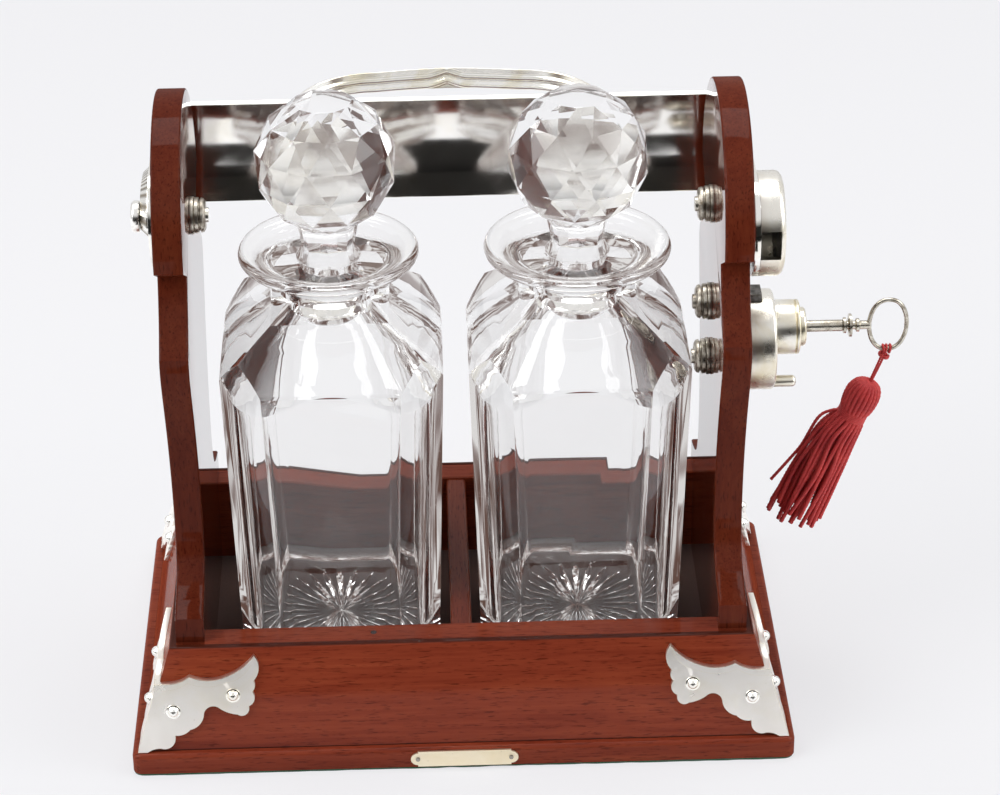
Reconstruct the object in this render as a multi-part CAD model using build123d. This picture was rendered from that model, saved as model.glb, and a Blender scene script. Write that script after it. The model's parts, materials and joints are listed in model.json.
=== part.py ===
from build123d import *
import os
from math import acos, asin, atan2, cos, degrees, pi, radians, sin, sqrt, tan

# Two-bottle tantalus: a mahogany stand with two cut-glass decanters, held down by a swinging
# plated yoke that a side lock keeps shut.  Millimetres, +X right, +Y back, +Z up.
# The origin is the centre of the underside.  The yoke is modelled swung back, decanters free.

# ---------------------------------------------------------------- driving dimensions
# base board
plinth_side_ledge = 3.9
plinth_front_ledge = 3.45
plinth_thickness = 8.9
plinth_corner_radius = 4.0
plinth_edge_radius = 2.0
baize_thickness = 1.0
baize_inset = 1.2

# tray: two rails between the uprights, and sloping mouldings round the outside
tray_inside_length = 207.8
tray_inside_depth = 113.0
rail_thickness = 11.0
tray_height = 43.0
moulding_top_width = 2.7
moulding_flare = 13.0
moulding_front_share = 0.815
moulding_edge_radius = 1.4
floor_thickness = 4.1
lining_thickness = 1.0
divider_thickness = 8.6
divider_below_rail = 1.0

# uprights
upright_thickness = 11.5
upright_foot_setback = 2.0
upright_foot_height = 11.0
upright_waist_half = 37.0
upright_waist_height = 50.0
upright_shoulder_half = 53.5
upright_neck_half = 35.5
neck_below_pivot = 8.5
cusp_below_pivot = 36.0
head_radius = 50.3
pivot_height = 202.5
upright_edge_radius = 0.9

# corner brackets: places on one are fractions of its reach and of its height
bracket_thickness = 1.5
bracket_lip_thickness = 0.8
bracket_reach = 38.5
bracket_height = 40.0
screw_head_radius = 2.3
screw_head_height = 1.9
screw_shank_radius = 1.1
screw_length = 7.0
screw_collar_radius = 3.1
screw_collar_height = 0.5
screw_places = ((0.223, 0.425), (0.805, 0.58))

# name plate, left bare
plaque_width = 38.0
plaque_lobe = 2.9
plaque_height = 7.4
plaque_rise = 4.3
plaque_thickness = 0.8
plaque_pin_radius = 0.9
plaque_pin_depth = 3.0
plaque_pin_standing = 0.4

# pivots
pivot_pin_radius = 3.0
pin_clearance = 0.05
stud_head_radius = 6.4
stud_head_height = 3.4
washer_radius = 7.6
washer_thickness = 1.6
nut_radius = 7.2
nut_height = 4.6
pin_end_length = 1.2
running_gap = 0.3

# yoke: a curved band, two arms and a bail handle
swing_gap = 1.2
arm_thickness = 2.5
band_inner_radius = 60.0
band_thickness = 2.3
band_half_angle = 21.5
arm_end_radius = 21.0
boss_length = 48.0
boss_width = 22.0
boss_height = 4.4
boss_along_arm = 14.3

handle_half_width = 67.5
handle_reach = 66.2
handle_bar_width = 9.4
handle_bar_thickness = 5.0
handle_knop_width = 7.0
handle_corner_radius = 34.0
handle_foot_length = 17.0
handle_foot_height = 2.4
handle_foot_width = 20.0
handle_crown = 5.0

# hasp housing at the end of the right arm
housing_radius = 20.8
housing_offset = 18.0
housing_depth = 10.0
housing_wall = 2.4
housing_face = 2.0
housing_edge_radius = 3.0
notch_width = 12.2
notch_length = 9.0

# lock
lock_below_pivot = 62.2
case_radius = 20.6
case_depth = 14.2
case_edge_radius = 1.6
key_above_case = 5.4
barrel_radius = 11.2
barrel_length = 10.4
barrel_ring_length = 2.0
collar_radius = 8.0
collar_length = 2.7
fixing_pitch = 25.4
fixing_radius = 2.0
fixing_depth = 3.0
peg_radius = 2.4
peg_length = 9.2
peg_forward = 8.0
peg_below_case_centre = 15.4
bolt_width = 10.0
bolt_thickness = 5.2
bolt_standing = 2.4
bolt_clearance = 0.12
bolt_to_face = 5.4
bolt_above_key = 3.0

# key and tassel
key_shank_radius = 2.4
key_clearance = 0.1
key_standing = 15.1
key_bit_length = 7.0
key_bit_width = 1.2
key_neck_length = 10.2
key_collars = ((0.5, 1.5, 3.3), (2.8, 3.8, 4.8), (5.8, 6.9, 2.8))
key_collar_bevel = 0.5
bow_length = 17.2
bow_height = 24.6
bow_wire = 1.9
cord_diameter = 1.2
tassel_lean = 21.5
tassel_head_radius = 7.0
tassel_head_length = 17.0
tassel_binding_radius = 6.2
tassel_length = 70.0
tassel_skirt_half = 12.5
tassel_skirt_depth = 9.0
tassel_drop = 16.0

# decanters and stoppers
decanter_divider_gap = 0.8
decanter_nut_gap = 2.0
decanter_taper = 7.8
decanter_corner_cut = 17.0
decanter_clearance = 0.1
shoulder_height = 137.4
shoulder_slope = 46.0
decanter_neck_radius = 24.0
rim_radii = (36.2, 37.6)
rim_round = 2.4
rim_flare_height = 12.0
dish_height = 178.5
dish_depth = 4.0
bore_radius = 13.0
bore_taper = 3.0
glass_wall = 6.0
glass_base = 14.0
cavity_corner_radius = 17.0
cavity_foot_radius = 6.0
ball_radius = 28.6
ball_above_dish = 41.0
ball_rings = 6
ball_ring_step = 26.4
ball_ring_corners = 10
ball_turns = (5.0, 12.0)
stopper_neck_radius = 10.5
stopper_plug_length = 20.0
stopper_plug_free = 2.0
stopper_waist_rise = 5.0
stopper_clearance = 0.12

# ---------------------------------------------------------------- derived places
plinth_top = baize_thickness + plinth_thickness
tray_top = plinth_top + tray_height
floor_top = plinth_top + floor_thickness
tray_surface = floor_top + lining_thickness

upright_inner = tray_inside_length / 2
upright_outer = upright_inner + upright_thickness
rail_inner = tray_inside_depth / 2
rail_outer = rail_inner + rail_thickness
upright_foot_half = rail_outer - upright_foot_setback
upright_foot_top = tray_top + upright_foot_height

moulding_foot = moulding_top_width + moulding_flare
plinth_width = 2 * (upright_outer + moulding_foot + plinth_side_ledge)
plinth_depth = 2 * (rail_outer + moulding_front_share * moulding_foot + plinth_front_ledge)

pivot_z = plinth_top + pivot_height
arm_inner = upright_outer + swing_gap
arm_outer = arm_inner + arm_thickness
band_outer_radius = band_inner_radius + band_thickness
handle_outer = band_outer_radius + handle_reach

lock_z = pivot_z - lock_below_pivot
key_z = lock_z + key_above_case
case_face = upright_outer + case_depth
barrel_face = case_face + barrel_length
collar_face = barrel_face + collar_length
bolt_outer = case_face - bolt_to_face
bolt_inner = bolt_outer - bolt_thickness
bolt_top = lock_z + case_radius + bolt_standing

bow_centre_x = collar_face + key_standing + key_neck_length + bow_length / 2
bow_bottom_z = key_z - bow_height / 2 + bow_wire / 2
decanter_z = tray_surface + decanter_clearance
compartment_length = (tray_inside_length - divider_thickness) / 2
nut_reach = washer_thickness + nut_height + pin_end_length
decanter_shoulder_width = compartment_length - decanter_divider_gap - nut_reach - decanter_nut_gap
decanter_base_width = decanter_shoulder_width - decanter_taper
decanter_pitch = divider_thickness + 2 * decanter_divider_gap + decanter_shoulder_width
rim_height = dish_height + dish_depth
decanter_neck_start = rim_height - rim_flare_height
ball_height = dish_height + ball_above_dish


# ---------------------------------------------------------------- helpers
def save(name, *solids):
    """Write one sub-part, as one solid or as a group of separate solids."""
    shape = solids[0] if len(solids) == 1 else Compound(list(solids))
    export_step(shape, f"parts/{name}.step")


def block(x0, x1, y0, y1, z0, z1):
    size = Box(x1 - x0, y1 - y0, z1 - z0)
    return Pos((x0 + x1) / 2, (y0 + y1) / 2, (z0 + z1) / 2) * size


def rod(radius, x0, x1, y=0.0, z=0.0):
    """A round bar along X."""
    return Pos((x0 + x1) / 2, y, z) * Rot(0, 90, 0) * Cylinder(radius, x1 - x0)


def slab(outline, x0, x1):
    """A flat plate across X, from edges drawn in (Y, Z)."""
    face = Plane.YZ * make_face(Curve() + outline)
    return Pos(x0, 0, 0) * extrude(face, amount=x1 - x0, dir=(1, 0, 0))


def turned(edges):
    """A solid of revolution about Z, from edges drawn in (radius, height)."""
    profile = Plane.XZ * make_face(Curve() + edges)
    return revolve(profile, Axis.Z)


def turned_points(*points):
    """A solid of revolution about Z, from straight runs between (radius, height) points."""
    return turned([Line(a, b) for a, b in zip(points, points[1:] + points[:1])])


def along_x(solid, x, y=0.0, z=0.0, sense=1):
    """Lay a solid that was turned about Z along X, starting at x."""
    return Pos(x, y, z) * Rot(0, 90 * sense, 0) * solid


def dome(radius, height, base):
    """The arc of a round dome in (radius, height), from its rim up to the axis."""
    ball = (radius * radius + height * height) / (2 * height)
    half = asin(radius / ball) / 2
    middle = (ball * sin(half), base + height - ball * (1 - cos(half)))
    return ThreePointArc((radius, base), middle, (0, base + height))


def mirror_x(solid):
    return mirror(solid, Plane.YZ)


def mirror_y(solid):
    return mirror(solid, Plane.XZ)


# ---------------------------------------------------------------- base and tray
def baize_pad():
    pad = RectangleRounded(
        plinth_width - 2 * baize_inset, plinth_depth - 2 * baize_inset, plinth_corner_radius
    )
    return extrude(pad, baize_thickness)


def plinth():
    board = extrude(RectangleRounded(plinth_width, plinth_depth, plinth_corner_radius), plinth_thickness)
    board = fillet(board.edges().group_by(Axis.Z)[-1], plinth_edge_radius)
    return Pos(0, 0, baize_thickness) * board


def pyramid(outset):
    """The sloping outer form of the tray, grown sideways by outset."""
    faces = []
    for out, z in ((moulding_foot, plinth_top), (moulding_top_width, tray_top)):
        x = upright_outer + out + outset
        y = rail_outer + moulding_front_share * out + outset
        faces.append(Pos(0, 0, z) * Rectangle(2 * x, 2 * y))
    return loft(faces)


def moulding_ring():
    ring = pyramid(0)
    ring = fillet(ring.edges().group_by(Axis.Z)[-1], moulding_edge_radius)
    return ring - block(-upright_outer, upright_outer, -rail_outer, rail_outer, 0, 2 * tray_top)


def front_side():
    """All that lies in front of the tray, between the mitres at its two front corners."""
    reach = moulding_foot + 1
    x = upright_outer + reach
    y = rail_outer + moulding_front_share * reach
    corners = [(-upright_outer, -rail_outer), (upright_outer, -rail_outer), (x, -y), (-x, -y)]
    return extrude(make_face(Polyline(*corners, close=True)), 2 * tray_top)


def right_side():
    """All that lies to the right of the tray, between the mitres at its two right corners."""
    reach = moulding_foot + 1
    x = upright_outer + reach
    y = rail_outer + moulding_front_share * reach
    corners = [(upright_outer, -rail_outer), (x, -y), (x, y), (upright_outer, rail_outer)]
    return extrude(make_face(Polyline(*corners, close=True)), 2 * tray_top)


def front_rail():
    rail = block(-upright_inner, upright_inner, -rail_outer, -rail_inner, plinth_top, tray_top)
    return chamfer(rail.edges().filter_by(Axis.X).group_by(Axis.Z)[-1], 0.6)


def tray_floor():
    return block(-upright_inner, upright_inner, -rail_inner, rail_inner, plinth_top, floor_top)


def divider():
    half = divider_thickness / 2
    top = tray_top - divider_below_rail
    board = block(-half, half, -rail_inner, rail_inner, floor_top, top)
    return fillet(board.edges().filter_by(Axis.Y).group_by(Axis.Z)[-1], 1.6)


def tray_lining():
    half = divider_thickness / 2
    right = block(half, upright_inner, -rail_inner, rail_inner, floor_top, tray_surface)
    return right, mirror_x(right)


# ---------------------------------------------------------------- uprights
def upright():
    """One shaped board: square foot, ogee waist, cusp, neck and round head."""
    waist_z = tray_top + upright_waist_height
    cusp_z = pivot_z - cusp_below_pivot
    neck_z = pivot_z - neck_below_pivot
    cusp = (-upright_shoulder_half, cusp_z)
    neck = (-upright_neck_half, neck_z)
    head = (-head_radius, pivot_z)
    foot = (-upright_foot_half, upright_foot_top)
    flare_mid = ((cusp[0] + neck[0]) / 2 + 1.6, (cusp[1] + neck[1]) / 2 - 1.6)
    ogee = [
        cusp,
        (-0.92 * upright_shoulder_half, cusp_z - 0.31 * (cusp_z - waist_z)),
        (-upright_waist_half, waist_z),
        (-0.64 * upright_foot_half, upright_foot_top + 0.27 * (waist_z - upright_foot_top)),
        foot,
    ]
    side = [
        Line((0, plinth_top), (-rail_outer, plinth_top)),
        Line((-rail_outer, plinth_top), (-rail_outer, tray_top)),
        Line((-rail_outer, tray_top), (-upright_foot_half, tray_top)),
        Line((-upright_foot_half, tray_top), foot),
        Spline(*ogee, tangents=[(-0.25, -1), (-1, -0.25)]),
        ThreePointArc(cusp, flare_mid, neck),
        Line(neck, head),
        ThreePointArc(
            head,
            (-head_radius * cos(pi / 4), pivot_z + head_radius * sin(pi / 4)),
            (0, pivot_z + head_radius),
        ),
        Line((0, pivot_z + head_radius), (0, plinth_top)),
    ]
    half = slab(side, upright_inner, upright_outer)
    board = half + mirror_y(half)
    outline = board.edges().filter_by(GeomType.LINE, reverse=True)
    return fillet(outline, upright_edge_radius)


def right_upright():
    board = upright()
    board -= rod(pivot_pin_radius + pin_clearance, upright_inner - 1, upright_outer + 1, z=pivot_z)
    for side in (-1, 1):
        z = key_z + side * fixing_pitch / 2
        board -= rod(fixing_radius + pin_clearance, upright_inner - 1, upright_outer + 1, z=z)
    return board


def left_upright():
    board = mirror_x(upright())
    return board - rod(pivot_pin_radius + pin_clearance, -upright_outer - 1, -upright_inner + 1, z=pivot_z)


# ---------------------------------------------------------------- corner brackets
bracket_tip = (0.904, 1.0)
bracket_upper_edge = (
    (-0.156, 0.73),
    (0.078, 0.73),
    ((0.208, 0.753), (0.286, 0.803)),
    ((0.468, 0.76), (0.675, 0.795)),
    ((0.81, 0.875), bracket_tip),
)


def leaning(point, flare):
    """A bracket's point in the flat view of its wall, from the corner's foot and the board."""
    distance = point[0] * bracket_reach
    height = point[1] * bracket_height
    return distance + flare * height / tray_height, height


def chain(flare, start, *steps):
    """Joined lines and arcs: a step is an end point, or a middle and an end point."""
    edges = []
    first = leaning(start, flare)
    for step in steps:
        if isinstance(step[0], tuple):
            middle = leaning(step[0], flare)
            last = leaning(step[1], flare)
            edges.append(ThreePointArc(first, middle, last))
        else:
            last = leaning(step, flare)
            edges.append(Line(first, last))
        first = last
    return edges


def bracket_outline(flare):
    """The scalloped plate: a rising upper edge, a lobed end and a stepped lower edge."""
    return chain(
        flare,
        *bracket_upper_edge,
        ((0.99, 0.885), (0.977, 0.735)),
        ((1.01, 0.67), (0.997, 0.62)),
        ((1.042, 0.545), (1.0, 0.47)),
        ((1.0, 0.385), (0.906, 0.385)),
        ((0.779, 0.415), (0.704, 0.45)),
        ((0.621, 0.478), (0.553, 0.38)),
        ((0.532, 0.285), (0.449, 0.235)),
        ((0.387, 0.185), (0.304, 0.18)),
        ((0.309, 0.07), (0.195, 0.045)),
        ((0.132, 0.04), (0.065, 0.005)),
        (-0.156, 0.005),
        bracket_upper_edge[0],
    )


def lip_outline(flare):
    """The raised moulding that follows the upper edge of the plate."""
    return chain(
        flare,
        *bracket_upper_edge,
        ((0.831, 0.79), (0.691, 0.73)),
        ((0.468, 0.695), (0.286, 0.738)),
        ((0.208, 0.688), (0.078, 0.665)),
        (-0.156, 0.665),
        bracket_upper_edge[0],
    )


def on_both_walls(outline, outset):
    """An outline laid on the front wall and on the right wall, at their corner, outset thick."""
    shell = pyramid(outset)
    x = upright_outer + moulding_foot
    y = -rail_outer - moulding_front_share * moulding_foot
    from_back = Plane(origin=(x, y - moulding_foot, plinth_top), x_dir=(-1, 0, 0), z_dir=(0, 1, 0))
    from_inside = Plane(origin=(upright_outer, y, plinth_top), x_dir=(0, 1, 0), z_dir=(1, 0, 0))
    front_view = make_face(Curve() + outline(moulding_flare))
    side_view = make_face(Curve() + outline(moulding_front_share * moulding_flare))
    front = shell & extrude(from_back * front_view, amount=2 * moulding_foot) & beside_mitre(True)
    right = shell & extrude(from_inside * side_view, amount=2 * moulding_foot) & beside_mitre(False)
    return front + right


def beside_mitre(front):
    """All that lies on the front side, or on the right side, of the corner's mitre plane."""
    far = 80.0
    share = moulding_front_share
    x = upright_outer
    y = -rail_outer
    third = (x - far, y - far) if front else (x + far, y + far)
    corners = [(x - far, y + share * far), (x + far, y - share * far), third]
    return extrude(make_face(Polyline(*corners, close=True)), 2 * tray_top)


def front_right_bracket():
    plate = on_both_walls(bracket_outline, bracket_thickness)
    lip = on_both_walls(lip_outline, bracket_thickness + bracket_lip_thickness)
    return plate + lip - pyramid(0)


def wall_frames():
    """Where the four screws of one bracket sit, square to its two walls."""
    side_lean = atan2(moulding_flare, tray_height)
    front_lean = atan2(moulding_front_share * moulding_flare, tray_height)
    frames = []
    for across, up in screw_places:
        distance = across * bracket_reach
        height = up * bracket_height
        out = moulding_top_width + moulding_flare * (1 - height / tray_height)
        x = upright_outer + out
        y = -rail_outer - moulding_front_share * out
        z = plinth_top + height
        normal = (0, -cos(front_lean), sin(front_lean))
        frames.append(Plane(origin=(x - distance, y, z), z_dir=normal))
        normal = (cos(side_lean), 0, sin(side_lean))
        frames.append(Plane(origin=(x, y + distance, z), z_dir=normal))
    return [frame.offset(bracket_thickness) for frame in frames]


def screw():
    """A round-head screw with a collar, its head on local Z = 0."""
    shank = screw_shank_radius
    collar = screw_collar_radius
    seat = screw_collar_height
    head = screw_head_radius
    crown = seat + screw_head_height
    return turned(
        [
            Line((0, -screw_length), (shank, -screw_length)),
            Line((shank, -screw_length), (shank, 0)),
            Line((shank, 0), (collar, 0)),
            Line((collar, 0), (collar - 0.2, seat)),
            Line((collar - 0.2, seat), (head, seat)),
            dome(head, screw_head_height, seat),
            Line((0, crown), (0, -screw_length)),
        ]
    )


def screw_holes():
    hole = Cylinder(screw_shank_radius + pin_clearance, 2 * screw_length)
    return [frame * hole for frame in wall_frames()]


def four_corners(solids):
    """The front right solids, and their mirror images at the other three corners."""
    front = solids + [mirror_x(solid) for solid in solids]
    return front + [mirror_y(solid) for solid in front]


# ---------------------------------------------------------------- name plate
def plaque():
    """A bare plate with lobed ends on the front edge of the board."""
    half = plaque_width / 2
    plate = Rectangle(plaque_width, plaque_height)
    for side in (-1, 1):
        plate += Pos(side * half, 0) * Circle(plaque_lobe)
    front = Plane(
        origin=(0, -plinth_depth / 2, baize_thickness + plaque_rise), x_dir=(1, 0, 0), z_dir=(0, -1, 0)
    )
    pin = Cylinder(plaque_pin_radius, plaque_pin_depth + plaque_thickness + plaque_pin_standing)
    middle = (plaque_thickness + plaque_pin_standing - plaque_pin_depth) / 2
    pins = [front * Pos(side * half, 0, middle) * pin for side in (-1, 1)]
    return extrude(front * plate, plaque_thickness), pins


# ---------------------------------------------------------------- pivots and nuts
def turned_nut():
    """A round grooved nut, its seat on Z = 0."""
    r = nut_radius
    bore = pivot_pin_radius + pin_clearance
    return turned_points(
        (bore, 0),
        (r - 0.3, 0),
        (r, 0.4),
        (r, 0.4 * nut_height),
        (r - 1.1, 0.46 * nut_height),
        (r - 1.1, 0.54 * nut_height),
        (r - 0.2, 0.6 * nut_height),
        (r - 0.6, 0.86 * nut_height),
        (r - 1.8, nut_height),
        (bore, nut_height),
    )


def washer(outer, bore, thickness):
    return turned_points((bore, 0), (outer, 0), (outer, thickness), (bore, thickness))


def inner_stack(z):
    """The washer and nut on the inner face of the right upright."""
    ring = washer(washer_radius, pivot_pin_radius + pin_clearance, washer_thickness)
    disc = along_x(ring, upright_inner, z=z, sense=-1)
    nut = along_x(turned_nut(), upright_inner - washer_thickness, z=z, sense=-1)
    return disc, nut


def pin_inner_end():
    return upright_inner - nut_reach


def left_pivot_stud():
    """The left pivot: a headed pin through the boss, the arm and the upright."""
    seat = arm_outer + boss_height + running_gap
    pin = rod(pivot_pin_radius, pin_inner_end(), seat + 0.5, z=pivot_z)
    head = along_x(
        turned_points(
            (0, 0),
            (stud_head_radius, 0),
            (stud_head_radius, 0.7 * stud_head_height),
            (stud_head_radius - 1, stud_head_height),
            (0, stud_head_height),
        ),
        seat,
        z=pivot_z,
    )
    return mirror_x(pin + head)


def right_pivot_pin():
    """The right pivot, whose outer end stops inside the arm."""
    return rod(pivot_pin_radius, pin_inner_end(), arm_outer - running_gap, z=pivot_z)


def spacer():
    ring = washer(washer_radius, pivot_pin_radius + pin_clearance, swing_gap - running_gap)
    return along_x(ring, upright_outer, z=pivot_z)


# ---------------------------------------------------------------- yoke
def polar(radius, angle, centre=0.0):
    """A (Y, Z) point at a radius from the pivot, by its angle above the arm."""
    return centre + radius * cos(radians(angle)), pivot_z + radius * sin(radians(angle))


def sector(inner, outer, half_angle):
    a = half_angle
    return [
        ThreePointArc(polar(outer, -a), polar(outer, 0), polar(outer, a)),
        Line(polar(outer, a), polar(inner, a)),
        ThreePointArc(polar(inner, a), polar(inner, 0), polar(inner, -a)),
        Line(polar(inner, -a), polar(outer, -a)),
    ]


def yoke_band():
    return slab(sector(band_inner_radius, band_outer_radius, band_half_angle), -arm_inner, arm_inner)


def arm(end_centre, end_radius):
    """A flat arm from the band to a round end, with edges that touch the round."""
    top = polar(band_outer_radius, band_half_angle)
    dy = top[0] - end_centre
    dz = top[1] - pivot_z
    touch = degrees(atan2(dz, dy)) + degrees(acos(end_radius / sqrt(dy * dy + dz * dz)))
    low = polar(band_outer_radius, -band_half_angle)
    upper = polar(end_radius, touch, end_centre)
    lower = polar(end_radius, -touch, end_centre)
    outline = [
        ThreePointArc(low, polar(band_outer_radius, 0), top),
        Line(top, upper),
        ThreePointArc(upper, polar(end_radius, 180, end_centre), lower),
        Line(lower, low),
    ]
    plate = slab(outline, arm_inner, arm_outer)
    return plate - rod(pivot_pin_radius + pin_clearance, arm_inner - 1, arm_outer + 1, z=pivot_z)


def left_boss():
    """The oval ornament over the left pivot, domed towards its edge."""
    place = Plane(
        origin=(-arm_outer, boss_along_arm, pivot_z), x_dir=(0, 1, 0), z_dir=(-1, 0, 0)
    )
    oval = Ellipse(boss_length / 2, boss_width / 2)
    crown = Ellipse(boss_length / 2 - boss_height, boss_width / 2 - boss_height / 2)
    rise = 0.35 * boss_height
    boss = extrude(place * oval, rise)
    boss += loft([place.offset(rise) * oval, place.offset(boss_height) * crown])
    return boss - mirror_x(rod(pivot_pin_radius + pin_clearance, 0, 2 * arm_outer, z=pivot_z))


def handle():
    """The bail: two feet on the band, two legs, and a bar that rises to a knop."""
    leg_x = handle_half_width - handle_bar_thickness / 2
    top_y = handle_outer - handle_bar_thickness / 2
    start_y = band_outer_radius + handle_foot_height / 2
    beyond = handle_crown / 10
    path = FilletPolyline(
        (leg_x, start_y, pivot_z),
        (leg_x, top_y - handle_crown, pivot_z),
        (-leg_x / 10, top_y + beyond, pivot_z),
        radius=handle_corner_radius,
    )
    section = Plane(origin=path @ 0, z_dir=path % 0, x_dir=(1, 0, 0)) * RectangleRounded(
        handle_bar_thickness, handle_bar_width, 0.45 * handle_bar_thickness
    )
    half = sweep(section, path) & block(0, 2 * leg_x, 0, 2 * top_y, 0, 2 * pivot_z)
    knop = Pos(0, top_y, pivot_z) * Box(
        handle_knop_width, handle_bar_thickness + 1.6, handle_bar_width + 1.6
    )
    knop = fillet(knop.edges(), 2.2)
    foot = slab(
        sector(band_outer_radius, band_outer_radius + handle_foot_height, band_half_angle),
        leg_x - handle_foot_length / 2,
        leg_x + handle_foot_length / 2,
    )
    oval = Plane(origin=(leg_x, 0, pivot_z), x_dir=(1, 0, 0), z_dir=(0, 1, 0)) * Ellipse(
        handle_foot_length / 2, handle_foot_width / 2
    )
    foot &= extrude(oval, 2 * band_outer_radius)
    side = half + foot
    return side + mirror_x(side) + knop


def hasp_housing():
    """A shallow round cup on the right arm, notched through its rim for the bolt."""
    face = arm_outer + housing_depth
    cup = rod(housing_radius, arm_outer, face, -housing_offset, pivot_z)
    cup = fillet(cup.edges().group_by(Axis.X)[-1], housing_edge_radius)
    hollow_face = face - housing_face
    cup -= rod(housing_radius - housing_wall, arm_outer, hollow_face, -housing_offset, pivot_z)
    reach = housing_offset + housing_radius
    half = notch_width / 2
    start = -reach - 1
    end = -reach + notch_length
    return cup - block(arm_outer, hollow_face, start, end, pivot_z - half, pivot_z + half)


# ---------------------------------------------------------------- lock
def keyway(x0, x1):
    """The round hole and the slot that the key passes through."""
    bore = rod(key_shank_radius + key_clearance, x0, x1, z=key_z)
    half = key_bit_width / 2 + key_clearance
    slot = block(x0, x1, -key_bit_length - key_clearance, 0, key_z - half, key_z + half)
    return bore + slot


def bolt_block(clearance):
    half = bolt_width / 2 + clearance
    return block(
        bolt_inner - clearance,
        bolt_outer + clearance,
        -half,
        half,
        key_z + bolt_above_key,
        bolt_top,
    )


def lock_case():
    case = rod(case_radius, upright_outer, case_face, z=lock_z)
    case = fillet(case.edges().group_by(Axis.X)[-1], case_edge_radius)
    chamber = key_bit_length + 3 * key_clearance
    case -= rod(chamber, bolt_inner - bolt_clearance, bolt_outer + bolt_clearance, z=key_z)
    case -= bolt_block(bolt_clearance)
    case -= keyway(bolt_outer, case_face + 1)
    for z in fixing_heights():
        case -= rod(fixing_radius + pin_clearance, upright_outer - 1, upright_outer + fixing_depth, z=z)
    return case


def fixing_heights():
    return key_z - fixing_pitch / 2, key_z + fixing_pitch / 2


def lock_barrel():
    barrel = rod(barrel_radius, case_face, barrel_face, z=key_z)
    barrel = chamfer(barrel.edges().group_by(Axis.X)[-1], 0.5)
    groove = along_x(
        washer(barrel_radius + 1, barrel_radius - 0.5, 0.5), barrel_face - barrel_ring_length, z=key_z
    )
    return barrel - groove - keyway(case_face - 1, barrel_face + 1)


def lock_collar():
    collar = rod(collar_radius, barrel_face, collar_face, z=key_z)
    collar = fillet(collar.edges().group_by(Axis.X)[-1], 1.2)
    return collar - keyway(barrel_face - 1, collar_face + 1)


def lock_peg():
    """A round-ended peg on the lower front of the case."""
    y = -peg_forward
    z = lock_z - peg_below_case_centre
    peg = rod(peg_radius, case_face, case_face + peg_length, y, z)
    return fillet(peg.edges().group_by(Axis.X)[-1], 0.7 * peg_radius)


def lock_studs():
    end = pin_inner_end()
    studs = []
    for z in fixing_heights():
        shank = rod(fixing_radius, end, upright_outer + fixing_depth, z=z)
        thread = rod(pivot_pin_radius, end, upright_inner, z=z)
        studs.append(shank + thread)
    return studs


def lock_bolt():
    bolt = bolt_block(0)
    return chamfer(bolt.edges().filter_by(Axis.X).group_by(Axis.Z)[-1], 0.8)


# ---------------------------------------------------------------- key and tassel
def key_bow():
    """An oval loop of round wire, standing upright."""
    wire = bow_wire / 2
    r = bow_length / 2 - wire
    straight = bow_height / 2 - wire - r
    x = bow_centre_x
    low = key_z - straight
    high = key_z + straight
    plane = Plane(origin=(x, 0, 0), x_dir=(1, 0, 0), z_dir=(0, -1, 0))
    path = Curve() + [
        Line((-r, low), (-r, high)),
        ThreePointArc((-r, high), (0, high + r), (r, high)),
        Line((r, high), (r, low)),
        ThreePointArc((r, low), (0, low - r), (-r, low)),
    ]
    section = Pos(x - r, 0, low) * Circle(wire)
    return sweep(section, plane * path)


def key_shank(bow):
    start = bolt_inner + 0.6
    collar_x = collar_face + key_standing
    r = key_shank_radius
    neck = 0.75 * r
    length = bow_centre_x - bow_length / 2 + bow_wire / 2 - start
    c = collar_x - start
    collars = []
    for first, last, radius in key_collars:
        collars += [(neck, c + first - key_collar_bevel), (radius, c + first)]
        collars += [(radius, c + last), (neck, c + last + key_collar_bevel)]
    body = turned_points(
        (0, 0),
        (r, 0),
        (r, c),
        *collars,
        (neck, length),
        (0, length),
    )
    half = key_bit_width / 2
    bit = block(start, bolt_outer - 0.6, -key_bit_length, 0, key_z - half, key_z + half)
    return along_x(body, start, z=key_z) + bit - bow


def tassel_frame():
    """The tassel's own axis, from the top of its head downwards."""
    lean = radians(tassel_lean)
    top_z = bow_bottom_z - tassel_drop * cos(lean)
    top_x = bow_centre_x - tassel_drop * sin(lean)
    return Plane(origin=(top_x, 0, top_z), x_dir=(0, 1, 0), z_dir=(-sin(lean), 0, -cos(lean)))


def tassel_head():
    r = tassel_head_radius
    length = tassel_head_length
    profile = [
        Line((0, 0), (0.25 * r, 0)),
        ThreePointArc((0.25 * r, 0), (0.9 * r, 0.28 * length), (r, 0.55 * length)),
        ThreePointArc((r, 0.55 * length), (0.98 * r, 0.75 * length), (tassel_binding_radius, length)),
        Line((tassel_binding_radius, length), (0, length)),
        Line((0, length), (0, 0)),
    ]
    return tassel_frame() * turned(profile)


def tassel_skirt():
    r = tassel_binding_radius
    start = tassel_frame().offset(tassel_head_length)
    middle = tassel_frame().offset((tassel_head_length + tassel_length) / 2)
    end = tassel_frame().offset(tassel_length)
    mid_half = 0.55 * tassel_skirt_half
    return loft(
        [
            start * Ellipse(r, r),
            middle * Ellipse(0.8 * tassel_skirt_depth, mid_half),
            end * Ellipse(tassel_skirt_depth, tassel_skirt_half),
        ]
    )


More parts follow.
